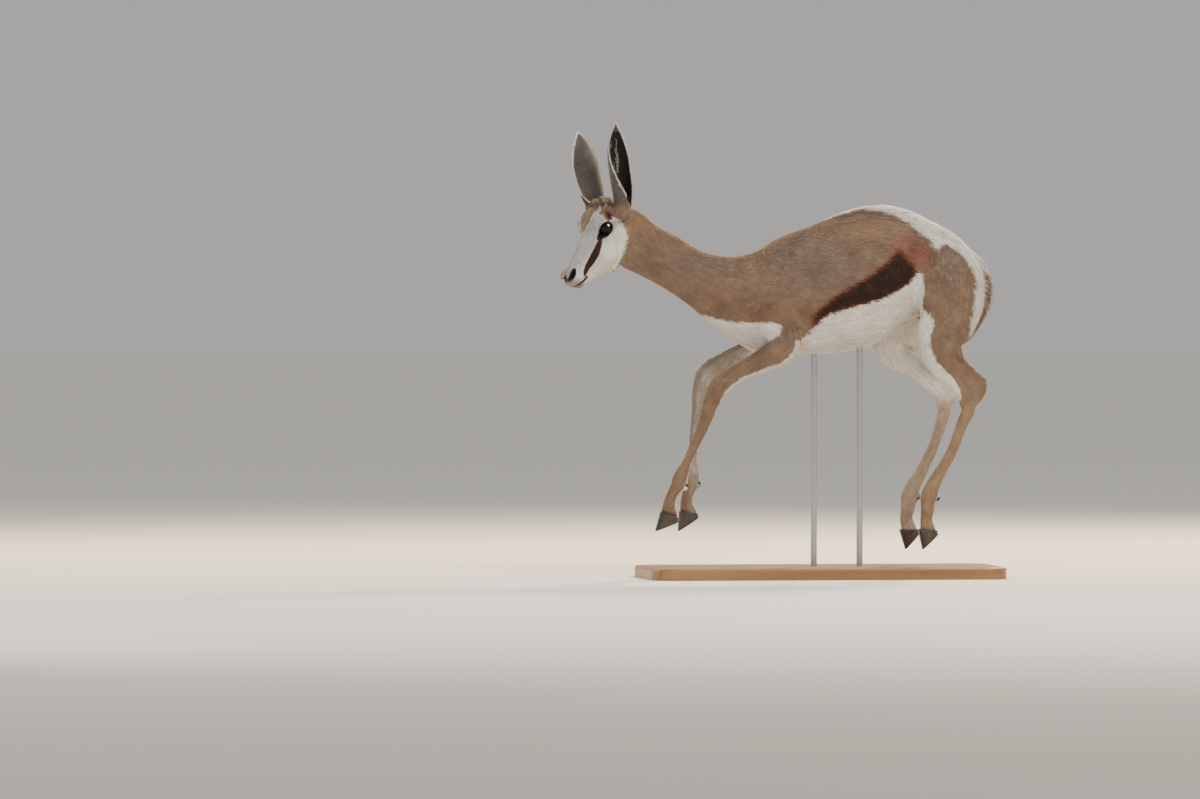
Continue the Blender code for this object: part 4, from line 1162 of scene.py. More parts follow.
marks["lip"][on_face] = 0.85 * smooth_step(a + 0.5 * np.abs(b + 20), 103, 121)
marks["cool"][on_face] = 0.45 * smooth_step(b, 0, 12) * smooth_step(a, -55, -30)
marks["warm"][on_face] = 0.35 * swell(np.column_stack([a, c, b]), (-34, 26, 16), (12, 12, 14))
marks["leg"][on_face] = 0.0
# painted shade: the white of the face is greyed, most on its upper half
marks["ash"][on_face] = 0.25 + 0.75 * smooth_step(b, -26, 0)
print("black at", int((black > 0).sum()), "points of the face")

# %% Markings of the ears
for way in (1, -1):
    length = unit(np.array(EAR_WAY[way]))
    reach = (points[on_face] - on_head(twin(EAR_ROOT, way))) @ length
    near = on_face[(reach > 2) & (reach < EAR_LENGTH + 2) & (c * way > -8)]
    reach = (points[near] - on_head(twin(EAR_ROOT, way))) @ length
    centre, opening, across, radius, bend = ear_section(way, reach)
    gap = points[near] - centre
    turn = np.arctan2((gap * across).sum(axis=1), -(gap * opening).sum(axis=1))
    out = np.linalg.norm(gap - np.outer(gap @ length, length), axis=1) - radius + 0.4 + EAR_WALL / 2
    is_ear = (np.abs(out) < 5) & (np.abs(turn) < bend + 0.12)
    near, reach, radius, bend, turn, out = (part[is_ear] for part in (near, reach, radius, bend, turn, out))
    to_rim = np.minimum((bend - np.abs(turn)) * radius, (EAR_LENGTH - reach) * 0.35).clip(-1, 99)
    share = reach / EAR_LENGTH
    marks["ear"][near] = smooth_step(reach, 2, 24)
    inside = (out < 0) & (reach > 24)
    rim_white = 1.0 - to_rim - 0.4 * np.maximum(0.0, 24 - reach)
    base_white = np.minimum((np.abs(turn) - 2.6) * radius, 34 - reach) * 0.35
    marks["white"][near] = np.where(inside, rim_white * 1.2, np.maximum(rim_white, base_white)) * HEAD_EDGE
    cup_black = np.minimum(to_rim - 2.2, (0.90 - share) * 60.0).clip(-20, 5)
    marks["black"][near] = np.where(inside, cup_black, -20.0)
    marks["dark"][near] = -30.0
    marks["warm"][near] = 0.0
    marks["cool"][near] = 0.0
print("ears:", int((marks["ear"] > 0).sum()), "points")

# %% Markings of the feet
for leg in LEGS:
    if leg.startswith("fore"):
        # painted shade: the white inner side of each foreleg is greyed
        pale = smooth_step(-v, 0.05, 0.5) * (1 - smooth_step(station, 9.2, 10.4) * smooth_step(-u, -0.2, 0.3))
        marks["dust"] += on_chart(leg) * pale * smooth_step(station, 1.0, 3.0) * 0.9
    else:
        pale = 0.7 + 0.3 * smooth_step(-v, 0.0, 0.5)
        marks["straw"] += on_chart(leg) * pale * smooth_step(station, 6.6, 9.2) * 0.9
    for turn in (35, -35):
        off = (degrees - turn + 180) % 360 - 180
        spot = 3.6 - np.hypot((station - DEWCLAWS[leg[:4]]) * 24.0, np.radians(off) * told["girth"])
        marks["black"] = np.where(on_chart(leg), np.maximum(marks["black"], spot), marks["black"])
above_hoof = np.where(under_crown > -20, 10.0 - 1.6 * np.abs(under_crown + 1.0), -999.0)
marks["dark"] = np.maximum(marks["dark"], above_hoof)
# the painted shade of the face lies on its white alone, and not on the ears
marks["ash"] *= smooth_step(marks["white"], 0.0, 5.0) * (1 - marks["ear"])
for name in marks:
    marks[name] = relaxed(marks[name][:, None], edges, 0.5, 2)[:, 0]
for name in ("white", "dark"):
    print(name, "share", round(float((marks[name] > 0).mean()), 3))

# %% [markdown]
# ## The lie of the coat
# Hair runs from nose to tail and down the legs, like water off the animal. The direction is
# taken from each chart, smoothed over the joins between charts, and laid flat on the skin.

# %% Lie of the hair and the grain along it
CHART_GAP = 40.0                     # sets the grain of two charts apart

lie = told["run"].copy()
lie[:, 2] -= 0.45 * on_chart("trunk")
headward = -np.column_stack([HEAD_AXES[:, 0]] * len(on_face)).T
lie[on_face] = headward * blend[:, None] + lie[on_face] * (1 - blend)[:, None]
in_ear = marks["ear"] > 0.3
ear_side = np.where(in_head(points)[:, 2] > 0, 1, -1)
for way in (1, -1):
    lie[in_ear & (ear_side == way)] = unit(np.array(EAR_WAY[way]))
lie = relaxed(lie, edges, 0.6, 30)
lie -= outward * (lie * outward).sum(axis=1)[:, None]
lie = unit(lie + 1e-9)
told["around"] = told["turn"] * told["girth"]
grain = np.column_stack([told["length"], told["around"], CHART_GAP * told["chart"]])
print("lie set on", len(lie), "points")

# %% [markdown]
# ## The short coat
# Springbok hair is short, dense and lies flat. It scatters light softly, with a faint sheen
# along the edge of the form. The colours are pigments in the hair: sand, rust, nearly black,
# white. Two grey layers over the white are painted shade: on the upper face and on the inner
# side of the forelegs. One material reads the marks of the point it stands on, so skin and tufts always
# agree.
# On the skin a fine grain runs with the hair. Real hairs are 0.05 mm thick; the grain is drawn
# about 2 mm wide, as it would otherwise not show at this distance.

# %% Colours of the coat
LAYERS = (                           # mark, colours light and dark, edge from and to, wobble of the edge
    ("gold", "#987a59", "#83674b", 0.0, 1.0, 0.25), ("cool", "#7b6a5f", "#685950", 0.0, 1.0, 0.25),
    ("warm", "#895840", "#704530", 0.0, 1.1, 0.25), ("leg", "#8c7259", "#735c48", 0.0, 1.2, 0.25),
    ("ear", "#5c5652", "#45413e", 0.0, 1.0, 0.20), ("dark", "#6a3520", "#54281a", -6.0, 1.0, 4.0),
    ("dark", "#2f150d", "#220e09", 0.0, 7.0, 3.0), ("white", "#e8e4dd", "#d3ccc1", -2.0, 2.6, 4.0),
    # the two grey layers that follow white are painted shade, on the white of the face and of the forelegs'
    # inner side
    ("ash", "#a5a4a6", "#8f8e90", 0.0, 1.2, 0.25), ("dust", "#9d907f", "#837767", 0.0, 1.2, 0.25),
    ("straw", "#a38a6e", "#8a7359", 0.0, 1.2, 0.25), ("lip", "#9a8a80", "#7c6e67", 0.0, 1.0, 0.2),
    ("black", "#191412", "#0e0b0a", -0.6, 0.8, 0.7),
)
SAND = ("#876f5b", "#6e5a49")
EDGE_WOBBLE = 9.0                    # millimetres between the waves of an edge
PATCH = 38.0                         # millimetres across a patch of lighter or darker coat
GRAIN_WIDE = 2.0
GRAIN_LONG = 22.0
LOCK_WIDE = 3.8                      # streaks of lighter and darker coat
LOCK_LONG = 26.0
print("coat layers:", len(LAYERS))

# %% Coat material
def coat_material(name, strands):
    """Hair colours by the marks; strands is true for tufts and false for the skin."""
    made, tree, shader = new_material(name, Roughness=0.68, Specular_IOR_Level=0.25, Sheen_Weight=0.08,
                                      Sheen_Roughness=0.5, Sheen_Tint=linear("#f0dfc8"), IOR=1.5)
    place = node(tree, "ShaderNodeTexCoord").outputs["Object"]
    wobble = node(tree, "ShaderNodeTexNoise", Vector=place, Scale=1000 / EDGE_WOBBLE, Detail=3.0)
    patch = node(tree, "ShaderNodeTexNoise", Vector=place, Scale=1000 / PATCH, Detail=4.0, Roughness=0.6)
    centred = node(tree, "ShaderNodeMath", {"operation": "SUBTRACT"}, i0=wobble.outputs[0], i1=0.5)
    mottle = node(tree, "ShaderNodeMapRange", i0=patch.outputs[0], i1=0.3, i2=0.7)
    colour = node(tree, "ShaderNodeMix", {"data_type": "RGBA"}, i0=mottle.outputs[0],
                  i6=linear(SAND[0]), i7=linear(SAND[1])).outputs[2]
    for mark, light, dark, low, high, loose in LAYERS:
        read = node(tree, "ShaderNodeAttribute", {"attribute_name": mark})
        moved = node(tree, "ShaderNodeMath", {"operation": "MULTIPLY_ADD"}, i0=centred.outputs[0],
                     i1=2 * loose, i2=read.outputs["Fac"])
        edge = node(tree, "ShaderNodeMapRange", {"interpolation_type": "SMOOTHSTEP"}, i0=moved.outputs[0],
                    i1=low, i2=high)
        shade = node(tree, "ShaderNodeMix", {"data_type": "RGBA"}, i0=mottle.outputs[0],
                     i6=linear(light), i7=linear(dark))
        colour = node(tree, "ShaderNodeMix", {"data_type": "RGBA"}, i0=edge.outputs[0],
                      i6=colour, i7=shade.outputs[2]).outputs[2]
    read = node(tree, "ShaderNodeAttribute", {"attribute_name": "grain"})
    lock = node(tree, "ShaderNodeMapping", {"vector_type": "POINT"}, Vector=read.outputs["Vector"],
                Scale=(1 / LOCK_LONG, 1 / LOCK_WIDE, 1.0))
    locks = node(tree, "ShaderNodeTexNoise", Vector=lock.outputs[0], Scale=1.0, Detail=3.0, Roughness=0.6)
    lock_level = node(tree, "ShaderNodeMapRange", i0=locks.outputs[0], i1=0.3, i2=0.7, i3=0.80, i4=1.12)
    if strands:
        shade = node(tree, "ShaderNodeAttribute", {"attribute_name": "shade"})
        level = node(tree, "ShaderNodeMapRange", i0=shade.outputs["Fac"], i1=0.0, i2=1.0, i3=0.76, i4=1.12)
    else:
        streak = node(tree, "ShaderNodeMapping", {"vector_type": "POINT"}, Vector=read.outputs["Vector"],
                      Scale=(1 / GRAIN_LONG, 1 / GRAIN_WIDE, 1.0))
        hair = node(tree, "ShaderNodeTexNoise", Vector=streak.outputs[0], Scale=1.0, Detail=3.0,
                    Roughness=0.6)
        level = node(tree, "ShaderNodeMapRange", i0=hair.outputs[0], i1=0.3, i2=0.7, i3=0.84, i4=1.10)
        relief = node(tree, "ShaderNodeBump", Strength=0.5, Distance=0.0006, Height=hair.outputs[0])
        tree.links.new(relief.outputs[0], shader.inputs["Normal"])
    level = node(tree, "ShaderNodeMath", {"operation": "MULTIPLY"}, i0=level.outputs[0],
                 i1=lock_level.outputs[0])
    toned = node(tree, "ShaderNodeVectorMath", {"operation": "SCALE"}, i0=colour, Scale=level.outputs[0])
    tree.links.new(toned.outputs[0], shader.inputs["Base Color"])
    return made


skin_coat = coat_material("short_coat_on_skin", False)
tuft_coat = coat_material("short_coat_in_tufts", True)
print("coat:", len(skin_coat.node_tree.nodes), "nodes on the skin,",
      len(tuft_coat.node_tree.nodes), "on tufts")

# %% Meshes from arrays
def array_mesh(name, places, triangles, marks_here):
    """An object in metres from arrays; marks_here become attributes of its points."""
    mesh = bpy.data.meshes.new(name)
    mesh.vertices.add(len(places))
    mesh.vertices.foreach_set("co", (places * MM).astype(np.float32).ravel())
    mesh.loops.add(3 * len(triangles))
    mesh.loops.foreach_set("vertex_index", triangles.astype(np.int32).ravel())
    mesh.polygons.add(len(triangles))
    mesh.polygons.foreach_set("loop_start", np.arange(0, 3 * len(triangles), 3, dtype=np.int32))
    mesh.update(calc_edges=True)
    mesh.shade_smooth()
    for key, values in marks_here.items():
        vector = values.ndim == 2
        layer = mesh.attributes.new(key, "FLOAT_VECTOR" if vector else "FLOAT", "POINT")
        layer.data.foreach_set("vector" if vector else "value", values.astype(np.float32).ravel())
    made = bpy.data.objects.new(name, mesh)
    bpy.context.scene.collection.objects.link(made)
    return made


skin = array_mesh("skin", points, corners, {**marks, "grain": grain})
skin.data.materials.append(skin_coat)
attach(skin, "root")
FLESH = [name for name in frame["nodes"] if name in ("torso", "neck", "head", "tail") or "leg_" in name
         or name.startswith("ear_")]
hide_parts(*FLESH)
print("skin replaces", len(FLESH), "solids")

# %% [markdown]
# ## Tufts
# Seen close, a short coat is thousands of small overlapping locks. Each lock here is a
# closed blade of ten triangles: a three-sided root sunk in the skin, a bend, and a tip that comes
# back down to the coat. They are set at random by area, closer and smaller on the face and
# feet, and they all lie along the hair's direction with a little disorder.

# %% Sowing and growing tufts
TUFT_TRIANGLES = np.array([(0, 2, 1), (0, 1, 4), (0, 4, 3), (1, 2, 5), (1, 5, 4), (2, 0, 3), (2, 3, 5),
                           (3, 4, 6), (4, 5, 6), (5, 3, 6)])
BLADE_POINTS = 7
TUFTS_IN_A_PIECE = 19500
PATCH_ON_MAP = 0.003                 # side of a tuft's own square on the map
TUFT_ON_MAP = np.array([(0, 0), (1, 0), (0.5, 0.3), (0, 0.6), (1, 0.6), (0.5, 0.7), (0.5, 1)]) - 0.5
TUFT_SHADE = np.array([-0.25, -0.25, -0.25, 0, 0, 0, 0.35])           # darker at the root
STANDING_HAIR = ("ear", "lashes", "crown")
TUFT_SIDEWAYS = np.array([-0.5, 0.5, 0.0, -0.5, 0.5, 0.0, 0.0])       # tufts are shaded mostly as the skin
TUFT_FORWARD = np.array([-0.15, -0.15, -0.15, 0.1, 0.1, 0.1, 0.3])    # they lie on, so the coat stays soft
TRIANGLE_AREA = np.linalg.norm(np.cross(points[corners[:, 1]] - points[corners[:, 0]],
                                        points[corners[:, 2]] - points[corners[:, 0]]), axis=1) / 2
MARK_NAMES = list(marks)
FIRST_MARK = 9                       # columns: place, outward, lie, the marks, chart, length, around
POINT_DATA = np.column_stack([points, outward, lie] + [marks[name] for name in MARK_NAMES]
                             + [told[key] for key in ("chart", "length", "around")])


def sown(density):
    """Roots spread over the skin; density is tufts for each square millimetre at every point."""
    weight = TRIANGLE_AREA * density[corners].mean(axis=1)
    count = int(weight.sum())
    chosen = DRAW.choice(len(corners), count, p=weight / weight.sum())
    share = DRAW.dirichlet((1.0, 1.0, 1.0), count)
    rows = sum(POINT_DATA[corners[chosen, k]] * share[:, k, None] for k in range(3))
    first = POINT_DATA[corners[chosen, 0]]
    rows[:, -3:] = first[:, -3:]
    return rows


def grown(rows, length, width, rise, mess):
    """Blades on the rows of roots, seven points each."""
    count = len(rows)
    root, up = rows[:, :3], unit(rows[:, 3:6])
    along = rows[:, 6:9] - up * (rows[:, 6:9] * up).sum(axis=1)[:, None]
    along = unit(along + 1e-9)
    side = np.cross(up, along)
    turn = DRAW.normal(0.0, mess, count)[:, None]
    along, side = along * np.cos(turn) + side * np.sin(turn), side * np.cos(turn) - along * np.sin(turn)
    length = (length * DRAW.uniform(0.75, 1.25, count))[:, None]
    width = (width * DRAW.uniform(0.8, 1.2, count))[:, None]
    rise = np.radians(rise * DRAW.uniform(0.7, 1.3, count))[:, None]
    middle = root + along * length * 0.42 + up * length * 0.42 * np.sin(rise)
    tip = middle + along * length * 0.58 + up * length * 0.58 * np.sin(rise * 0.15)
    low = root - up * 0.5
    return np.stack([low - side * width / 2, low + side * width / 2, low + up * width * 0.30,
                     middle - side * width * 0.42, middle + side * width * 0.42,
                     middle + up * width * 0.22, tip], axis=1)

# %% Pieces of coat
def piece_of_coat(name, blades, rows, shade):
    """One object of tufts with marks, shades and a map for its finish."""
    first = BLADE_POINTS * np.arange(len(blades))
    triangles = (TUFT_TRIANGLES[None] + first[:, None, None]).reshape(-1, 3)
    values = {key: np.repeat(rows[:, FIRST_MARK + k], BLADE_POINTS) for k, key in enumerate(MARK_NAMES)}
    run = np.column_stack([rows[:, -2], rows[:, -1], CHART_GAP * rows[:, -3]])
    values["grain"] = np.repeat(run, BLADE_POINTS, axis=0)
    values["shade"] = (shade[:, None] + TUFT_SHADE[None]).ravel()
    made = array_mesh(name, blades.reshape(-1, 3), triangles, values)
    made.data.materials.append(tuft_coat)
    if name.split("_")[0] not in STANDING_HAIR:
        up, along = rows[:, None, 3:6], rows[:, None, 6:9]
        soft = up + np.cross(up, along) * TUFT_SIDEWAYS[None, :, None] + along * TUFT_FORWARD[None, :, None]
        made.data.normals_split_custom_set_from_vertices(unit(soft).reshape(-1, 3))
    place = rows[:, -2:]
    span = place.max(axis=0) - place.min(axis=0)
    spot = PATCH_ON_MAP + (1 - 2 * PATCH_ON_MAP) * (place - place.min(axis=0)) / np.maximum(span, 1e-6)
    flat = (spot[:, None] + TUFT_ON_MAP[None] * PATCH_ON_MAP).reshape(-1, 2)
    layer = made.data.uv_layers.new(name="OFBake")
    layer.data.foreach_set("uv", flat[triangles.ravel()].astype(np.float32).ravel())
    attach(made, "root")
    return made


def coat_pieces(label, blades, rows, shade):
    """Splits a region by chart and run, so that no piece grows too large."""
    made = []
    for number in np.unique(rows[:, -3]):
        mine = np.flatnonzero(rows[:, -3] == number)
        order = mine[np.argsort(rows[mine, -2])]
        parts = -(-len(order) // TUFTS_IN_A_PIECE)
        for index, part in enumerate(np.array_split(order, parts)):
            name = f"{label}_{NAMES[int(number)]}_{index + 1}"
            made.append(piece_of_coat(name, blades[part], rows[part], shade[part]))
    return made


print("skin area", round(TRIANGLE_AREA.sum() / 1e6, 3), "square metres")

# %% The short coat
LENGTHS = {"body": 9.5, "face": 4.2, "foot": 4.6, "ear": 4.0}
WIDTHS = {"body": 1.25, "face": 0.8, "foot": 0.95, "ear": 0.7}
DENSITY = {"body": 0.145, "face": 0.42, "foot": 0.30, "ear": 0.16}


def by_region(table):
    """A value for every point of the skin, blended between body, face, foot and ear."""
    face_share = smooth_step(ahead_of_seam, -20.0, 30.0)
    value = table["body"] + (table["face"] - table["body"]) * face_share
    value = value + (table["foot"] - value) * foot
    return value + (table["ear"] - value) * smooth_step(marks["ear"], 0.1, 0.6)


bare = smooth_step(marks["black"], -1.5, 0.5) * (ahead_of_seam > 0) * (marks["ear"] < 0.3)
bare = np.maximum(bare, smooth_step(under_crown, -4.0, -2.0))
POINT_DATA = np.column_stack([POINT_DATA[:, :-3], by_region(LENGTHS), by_region(WIDTHS),
                              POINT_DATA[:, -3:]])
rows = sown(by_region(DENSITY) * (1 - bare))
long_now, wide_now = rows[:, -5], rows[:, -4]
rows = np.delete(rows, (-5, -4), axis=1)
POINT_DATA = np.delete(POINT_DATA, (-5, -4), axis=1)
blades = grown(rows, long_now, wide_now, 14.0, 0.08)
shade = np.clip(DRAW.normal(0.5, 0.2, len(rows)), 0.0, 1.0)
coat = coat_pieces("coat", blades, rows, shade)
print(len(rows), "tufts in", len(coat), "pieces")

# %% [markdown]
# ## Longer hair
# In some places hair breaks the outline: the white fan along the back and rump, the tail, the
# crown between the horns, the fold in front of the foreleg, the belly, the hooves' crowns, the
# ears and the lashes. Those tufts are grown by the same function, each kind with its own length,
# width and rise.

# %% Fan, crown and tail
CROWN_STATION = {"fore": 12.9, "hind": 16.9}


def set_hair(label, density, length, width, rise, mess):
    """Sows and grows one kind of longer hair."""
    lot = sown(density)
    hair = grown(lot, length, width, rise, mess)
    tone = np.clip(DRAW.normal(0.5, 0.22, len(lot)), 0.0, 1.0)
    made = coat_pieces(label, hair, lot, tone)
    print(label, len(lot), "tufts in", len(made), "pieces")
    return made


x, y, z = points.T
on_back = on_trunk & (told["u"] > 0) & (marks["white"] > -6)
crest = on_back * smooth_step(x, 0, 60) * np.exp(-(y / 26) ** 2)
fan_edge = on_back * smooth_step(x, 20, 90) * np.exp(-((np.abs(y) - along_line(FAN_HALF, x)) / 10) ** 2)
behind = (marks["white"] > -2) * smooth_step(x, 225, 270) * (z > 470) * (z < 640) * (tail_gap > 12)
longer = set_hair("fan_crest", 0.10 * crest, 17.0, 1.3, 24.0, 0.20)
longer += set_hair("fan_side", 0.05 * fan_edge + 0.06 * behind, 14.0, 1.4, 20.0, 0.16)
on_tail = (tail_gap < 14) * (told["chart"] != NAMES.index("head"))
longer += set_hair("tail_hair", 0.20 * on_tail, 15.0, 1.1, 14.0, 0.18)
crown_gap = np.linalg.norm((in_head(points) - (-41, 33, 0)) / (15, 14, 20), axis=1)
longer += set_hair("crown", 0.40 * (crown_gap < 1.3), 14.0, 0.8, 34.0, 0.35)
shoulder_fold = np.exp(-((x - along_line(CHEST_REAR, z)) / 8) ** 2)
shoulder_fold *= (z > 405) * (z < 492) * (np.abs(y) > 35)
longer += set_hair("fold", 0.10 * shoulder_fold, 12.0, 1.3, 18.0, 0.2)
belly_line = (told["u"] < -0.86) * on_trunk * (x > -60) * (x < 170) * (np.abs(y) < 40)
longer += set_hair("belly", 0.05 * belly_line, 11.0, 1.3, 16.0, 0.15)
crown_of_hoof = sum(on_chart(leg) * np.exp(-((station - CROWN_STATION[leg[:4]]) / 0.35) ** 2)
                    for leg in LEGS)
longer += set_hair("coronet", 0.35 * crown_of_hoof * (under_crown < -3.5), 5.5, 0.8, 9.0, 0.15)

# %% Rims of the ears and lashes
def planted(root, up, along, chart, place, **given):
    """Rows of roots set one by one; marks that aren't given stay clear."""
    clear = {"white": -20.0, "dark": -20.0, "black": -20.0}
    rows = [root, up, along]
    rows += [np.full((len(root), 1), given.get(name, clear.get(name, 0.0))) for name in MARK_NAMES]
    rows += [np.full((len(root), 1), float(NAMES.index(chart))), place]
    return np.hstack(rows)


INSIDE_HAIRS = 170
RIM_HAIRS = 1200
LASHES = 46
for way, side_name in ((1, "left"), (-1, "right")):
    length = unit(np.array(EAR_WAY[way]))
    reach = EAR_LENGTH * (0.16 + 0.84 * DRAW.uniform(0, 1, RIM_HAIRS) ** 0.85)
    rim_way = DRAW.choice((-1.0, 1.0), RIM_HAIRS)
    centre, opening, across, radius, bend = ear_section(way, reach)
    angle = (bend - DRAW.uniform(0, 0.07, RIM_HAIRS)) * rim_way
    out = across * np.sin(angle)[:, None] - opening * np.cos(angle)[:, None]
    ahead = (across * np.cos(angle)[:, None] + opening * np.sin(angle)[:, None]) * rim_way[:, None]
    root = centre + out * (radius - 0.4 - EAR_WALL * DRAW.uniform(0.1, 0.9, RIM_HAIRS))[:, None]
    lot = planted(root, out, ahead * 0.55 + length, "head", np.column_stack([reach, angle]), white=9.0)
    hair = grown(lot, 4.2, 0.6, 8.0, 0.25)
    tone = np.clip(DRAW.normal(0.6, 0.2, RIM_HAIRS), 0, 1)
    longer += coat_pieces(f"ear_rim_{side_name}", hair, lot, tone)
    reach = EAR_LENGTH * (0.42 + 0.44 * DRAW.uniform(0, 1, INSIDE_HAIRS))
    centre, opening, across, radius, bend = ear_section(way, reach)
    band = DRAW.choice((-1.0, 1.0), INSIDE_HAIRS)
    angle = (0.30 + DRAW.normal(0, 0.05, INSIDE_HAIRS)) * bend * band
    out = across * np.sin(angle)[:, None] - opening * np.cos(angle)[:, None]
    root = centre + out * (radius - 0.2 - EAR_WALL)[:, None]
    leaning = length - 0.15 * band[:, None] * across
    lot = planted(root, -out, leaning, "head", np.column_stack([reach, angle]), white=3.0)
    hair = grown(lot, 9.0, 0.45, 18.0, 0.25)
    tone = np.clip(DRAW.normal(0.3, 0.2, INSIDE_HAIRS), 0, 1)
    longer += coat_pieces(f"ear_inside_{side_name}", hair, lot, tone)
    gaze, along, above = gaze_axes(way)
    turn = np.radians(np.linspace(15, 150, LASHES))
    grow = lid_flare(14.0)
    high = grow * LID_OPENING[1] * np.sin(turn)
    ahead = grow * LID_OPENING[0] * np.cos(turn)
    root = on_head(twin(EYE_CENTRE, way) + gaze * 12.5 + np.outer(ahead, along) + np.outer(high + 0.8, above))
    sweep = (np.outer(np.cos(turn) * 0.5, along) + gaze + above * 0.35) @ HEAD_AXES.T
    lid_up = np.tile(HEAD_AXES @ above, (LASHES, 1))
    lot = planted(root, lid_up, sweep, "head", np.column_stack([turn, turn]), black=6.0)
    hair = grown(lot, 6.5, 0.6, 14.0, 0.12)
    longer += coat_pieces(f"lashes_{side_name}", hair, lot, np.full(LASHES, 0.4))
print("longer hair:", len(longer), "pieces")

# %% [markdown]
# ## Eyes
# A taxidermist's eye is a glass bowl painted from behind. A springbok's iris is so dark a brown
# that it reads as black, with a level, oval pupil; the wet surface gives one sharp
# highlight. The ball sits on the centre that the lids were formed round. One lamp is linked
# to the eyes alone and adds only gloss, as a portrait's catch light does.

# %% Glass eyes
def eyeball(way, high=40, wide=64):
    """A ball with its pole at the pupil, a little fuller there, and each point's place from the pole."""
    gaze, along, _ = gaze_axes(way)
    gaze = unit(gaze)
    along = unit(along - gaze * gaze.dot(along))
    above = np.cross(gaze, along) * way
    polar = np.linspace(0.02, math.pi - 0.02, high)
    turn = np.linspace(0, 2 * math.pi, wide, endpoint=False)
    rings = []
    told_here = []
    for angle in polar:
        radius = EYE_RADIUS + 0.9 * math.exp(-(angle / 0.65) ** 2)
        flat = np.outer(np.cos(turn), along) + np.outer(np.sin(turn), above)
        around = gaze * math.cos(angle) + flat * math.sin(angle)
        rings.append(on_head(twin(EYE_CENTRE, way) + radius * around))
        told_here.append(np.column_stack([angle * np.cos(turn), angle * np.sin(turn), np.full(wide, angle)]))
    return loft(rings), np.vstack(told_here)

# %% Catch light
eyes_only = bpy.data.collections.new("eyes_only")
catch_light = soft_lamp("catch_light", (1.6, -1.5, 1.7), (-0.28, -0.03, 0.72), 1.3, 420.0, "#ffffff")
catch_light.light_linking.receiver_collection = eyes_only
catch_light.visible_diffuse = False
print("catch light:", catch_light.data.energy, "watts")

# %% Painted glass
IRIS_EDGE = 0.74                     # radians from the middle of the pupil
PUPIL = (0.46, 0.27)                 # half length and half height, radians
eye_glass, tree, shader = new_material("dark_glass_eye", Roughness=0.04, IOR=1.52, Specular_IOR_Level=0.18)
where = node(tree, "ShaderNodeAttribute", {"attribute_name": "gaze"})
parts = node(tree, "ShaderNodeSeparateXYZ", Vector=where.outputs["Vector"])
squeezed = node(tree, "ShaderNodeMapping", Vector=where.outputs["Vector"],
                Scale=(1 / PUPIL[0], 1 / PUPIL[1], 0.0))
oval = node(tree, "ShaderNodeVectorMath", {"operation": "LENGTH"}, i0=squeezed.outputs[0])
pupil = node(tree, "ShaderNodeMapRange", {"interpolation_type": "SMOOTHSTEP"},
             i0=oval.outputs["Value"], i1=0.92, i2=1.08)
fibres = node(tree, "ShaderNodeTexNoise", Vector=where.outputs["Vector"], Scale=26.0, Detail=3.0)
iris = node(tree, "ShaderNodeMix", {"data_type": "RGBA"}, i0=fibres.outputs[0],
            i6=linear("#0c0604"), i7=linear("#170d07"))
rim = node(tree, "ShaderNodeMapRange", {"interpolation_type": "SMOOTHSTEP"}, i0=parts.outputs[2],
           i1=IRIS_EDGE - 0.08, i2=IRIS_EDGE + 0.04)
ringed = node(tree, "ShaderNodeMix", {"data_type": "RGBA"}, i0=rim.outputs[0],
              i6=iris.outputs[2], i7=linear("#0d0907"))
painted = node(tree, "ShaderNodeMix", {"data_type": "RGBA"}, i0=pupil.outputs[0],
               i6=linear("#040303"), i7=ringed.outputs[2])
tree.links.new(painted.outputs[2], shader.inputs["Base Color"])
print("pupil", PUPIL, "radians")

# %% Set the eyes
for way, side_name in ((1, "left"), (-1, "right")):
    (ball, faces), told_here = eyeball(way)
    eye = mesh_object(f"glass_eye_{side_name}", ball, faces)
    layer = eye.data.attributes.new("gaze", "FLOAT_VECTOR", "POINT")
    layer.data.foreach_set("vector", told_here.astype(np.float32).ravel())
    eye.data.shade_smooth()
    eye.data.materials.append(eye_glass)
    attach(eye, "root")
    eyes_only.objects.link(eye)
    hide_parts(f"eye_{side_name}")

# %% [markdown]
# ## Horns and hooves
# Both are keratin, grown in thin layers, so both show fine uneven rings square to the way they
# grow, paler where they are worn. The horns of so young an animal are blunt buds. A hoof is two claws
# with a flat cleft between them, worn to a point in front.

# %% Keratin
HORN_RING_GAP = 2.4
HOOF_RING_GAP = 3.2


def keratin(name, dark, light, ring_gap, roughness):
    """Layered keratin; the mark called growth counts millimetres from the root."""
    made, tree, shader = new_material(name, Roughness=roughness, IOR=1.55, Specular_IOR_Level=0.45,
                                      Coat_Weight=0.15, Coat_Roughness=0.25)
    place = node(tree, "ShaderNodeTexCoord").outputs["Object"]
    growth = node(tree, "ShaderNodeAttribute", {"attribute_name": "growth"})
    cloud = node(tree, "ShaderNodeTexNoise", Vector=place, Scale=130.0, Detail=4.0, Roughness=0.65)
    bent = node(tree, "ShaderNodeMath", {"operation": "MULTIPLY_ADD"}, i0=cloud.outputs[0],
                i1=1.2, i2=growth.outputs["Fac"])
    angle = node(tree, "ShaderNodeMath", {"operation": "MULTIPLY"}, i0=bent.outputs[0],
                 i1=2 * math.pi / ring_gap)
    wave = node(tree, "ShaderNodeMath", {"operation": "SINE"}, i0=angle.outputs[0])
    soft = node(tree, "ShaderNodeMapRange", i0=wave.outputs[0], i1=-1.0, i2=1.0, i3=0.0, i4=0.35)
    share = node(tree, "ShaderNodeMath", {"operation": "ADD"}, i0=soft.outputs[0], i1=cloud.outputs[0])
    worn = node(tree, "ShaderNodeMapRange", i0=share.outputs[0], i1=0.45, i2=1.0)
    tone = node(tree, "ShaderNodeMix", {"data_type": "RGBA"}, i0=worn.outputs[0],
                i6=linear(dark), i7=linear(light))
    bump = node(tree, "ShaderNodeBump", Strength=0.35, Distance=0.0004, Height=share.outputs[0])
    tree.links.new(tone.outputs[2], shader.inputs["Base Color"])
    tree.links.new(bump.outputs[0], shader.inputs["Normal"])
    return made


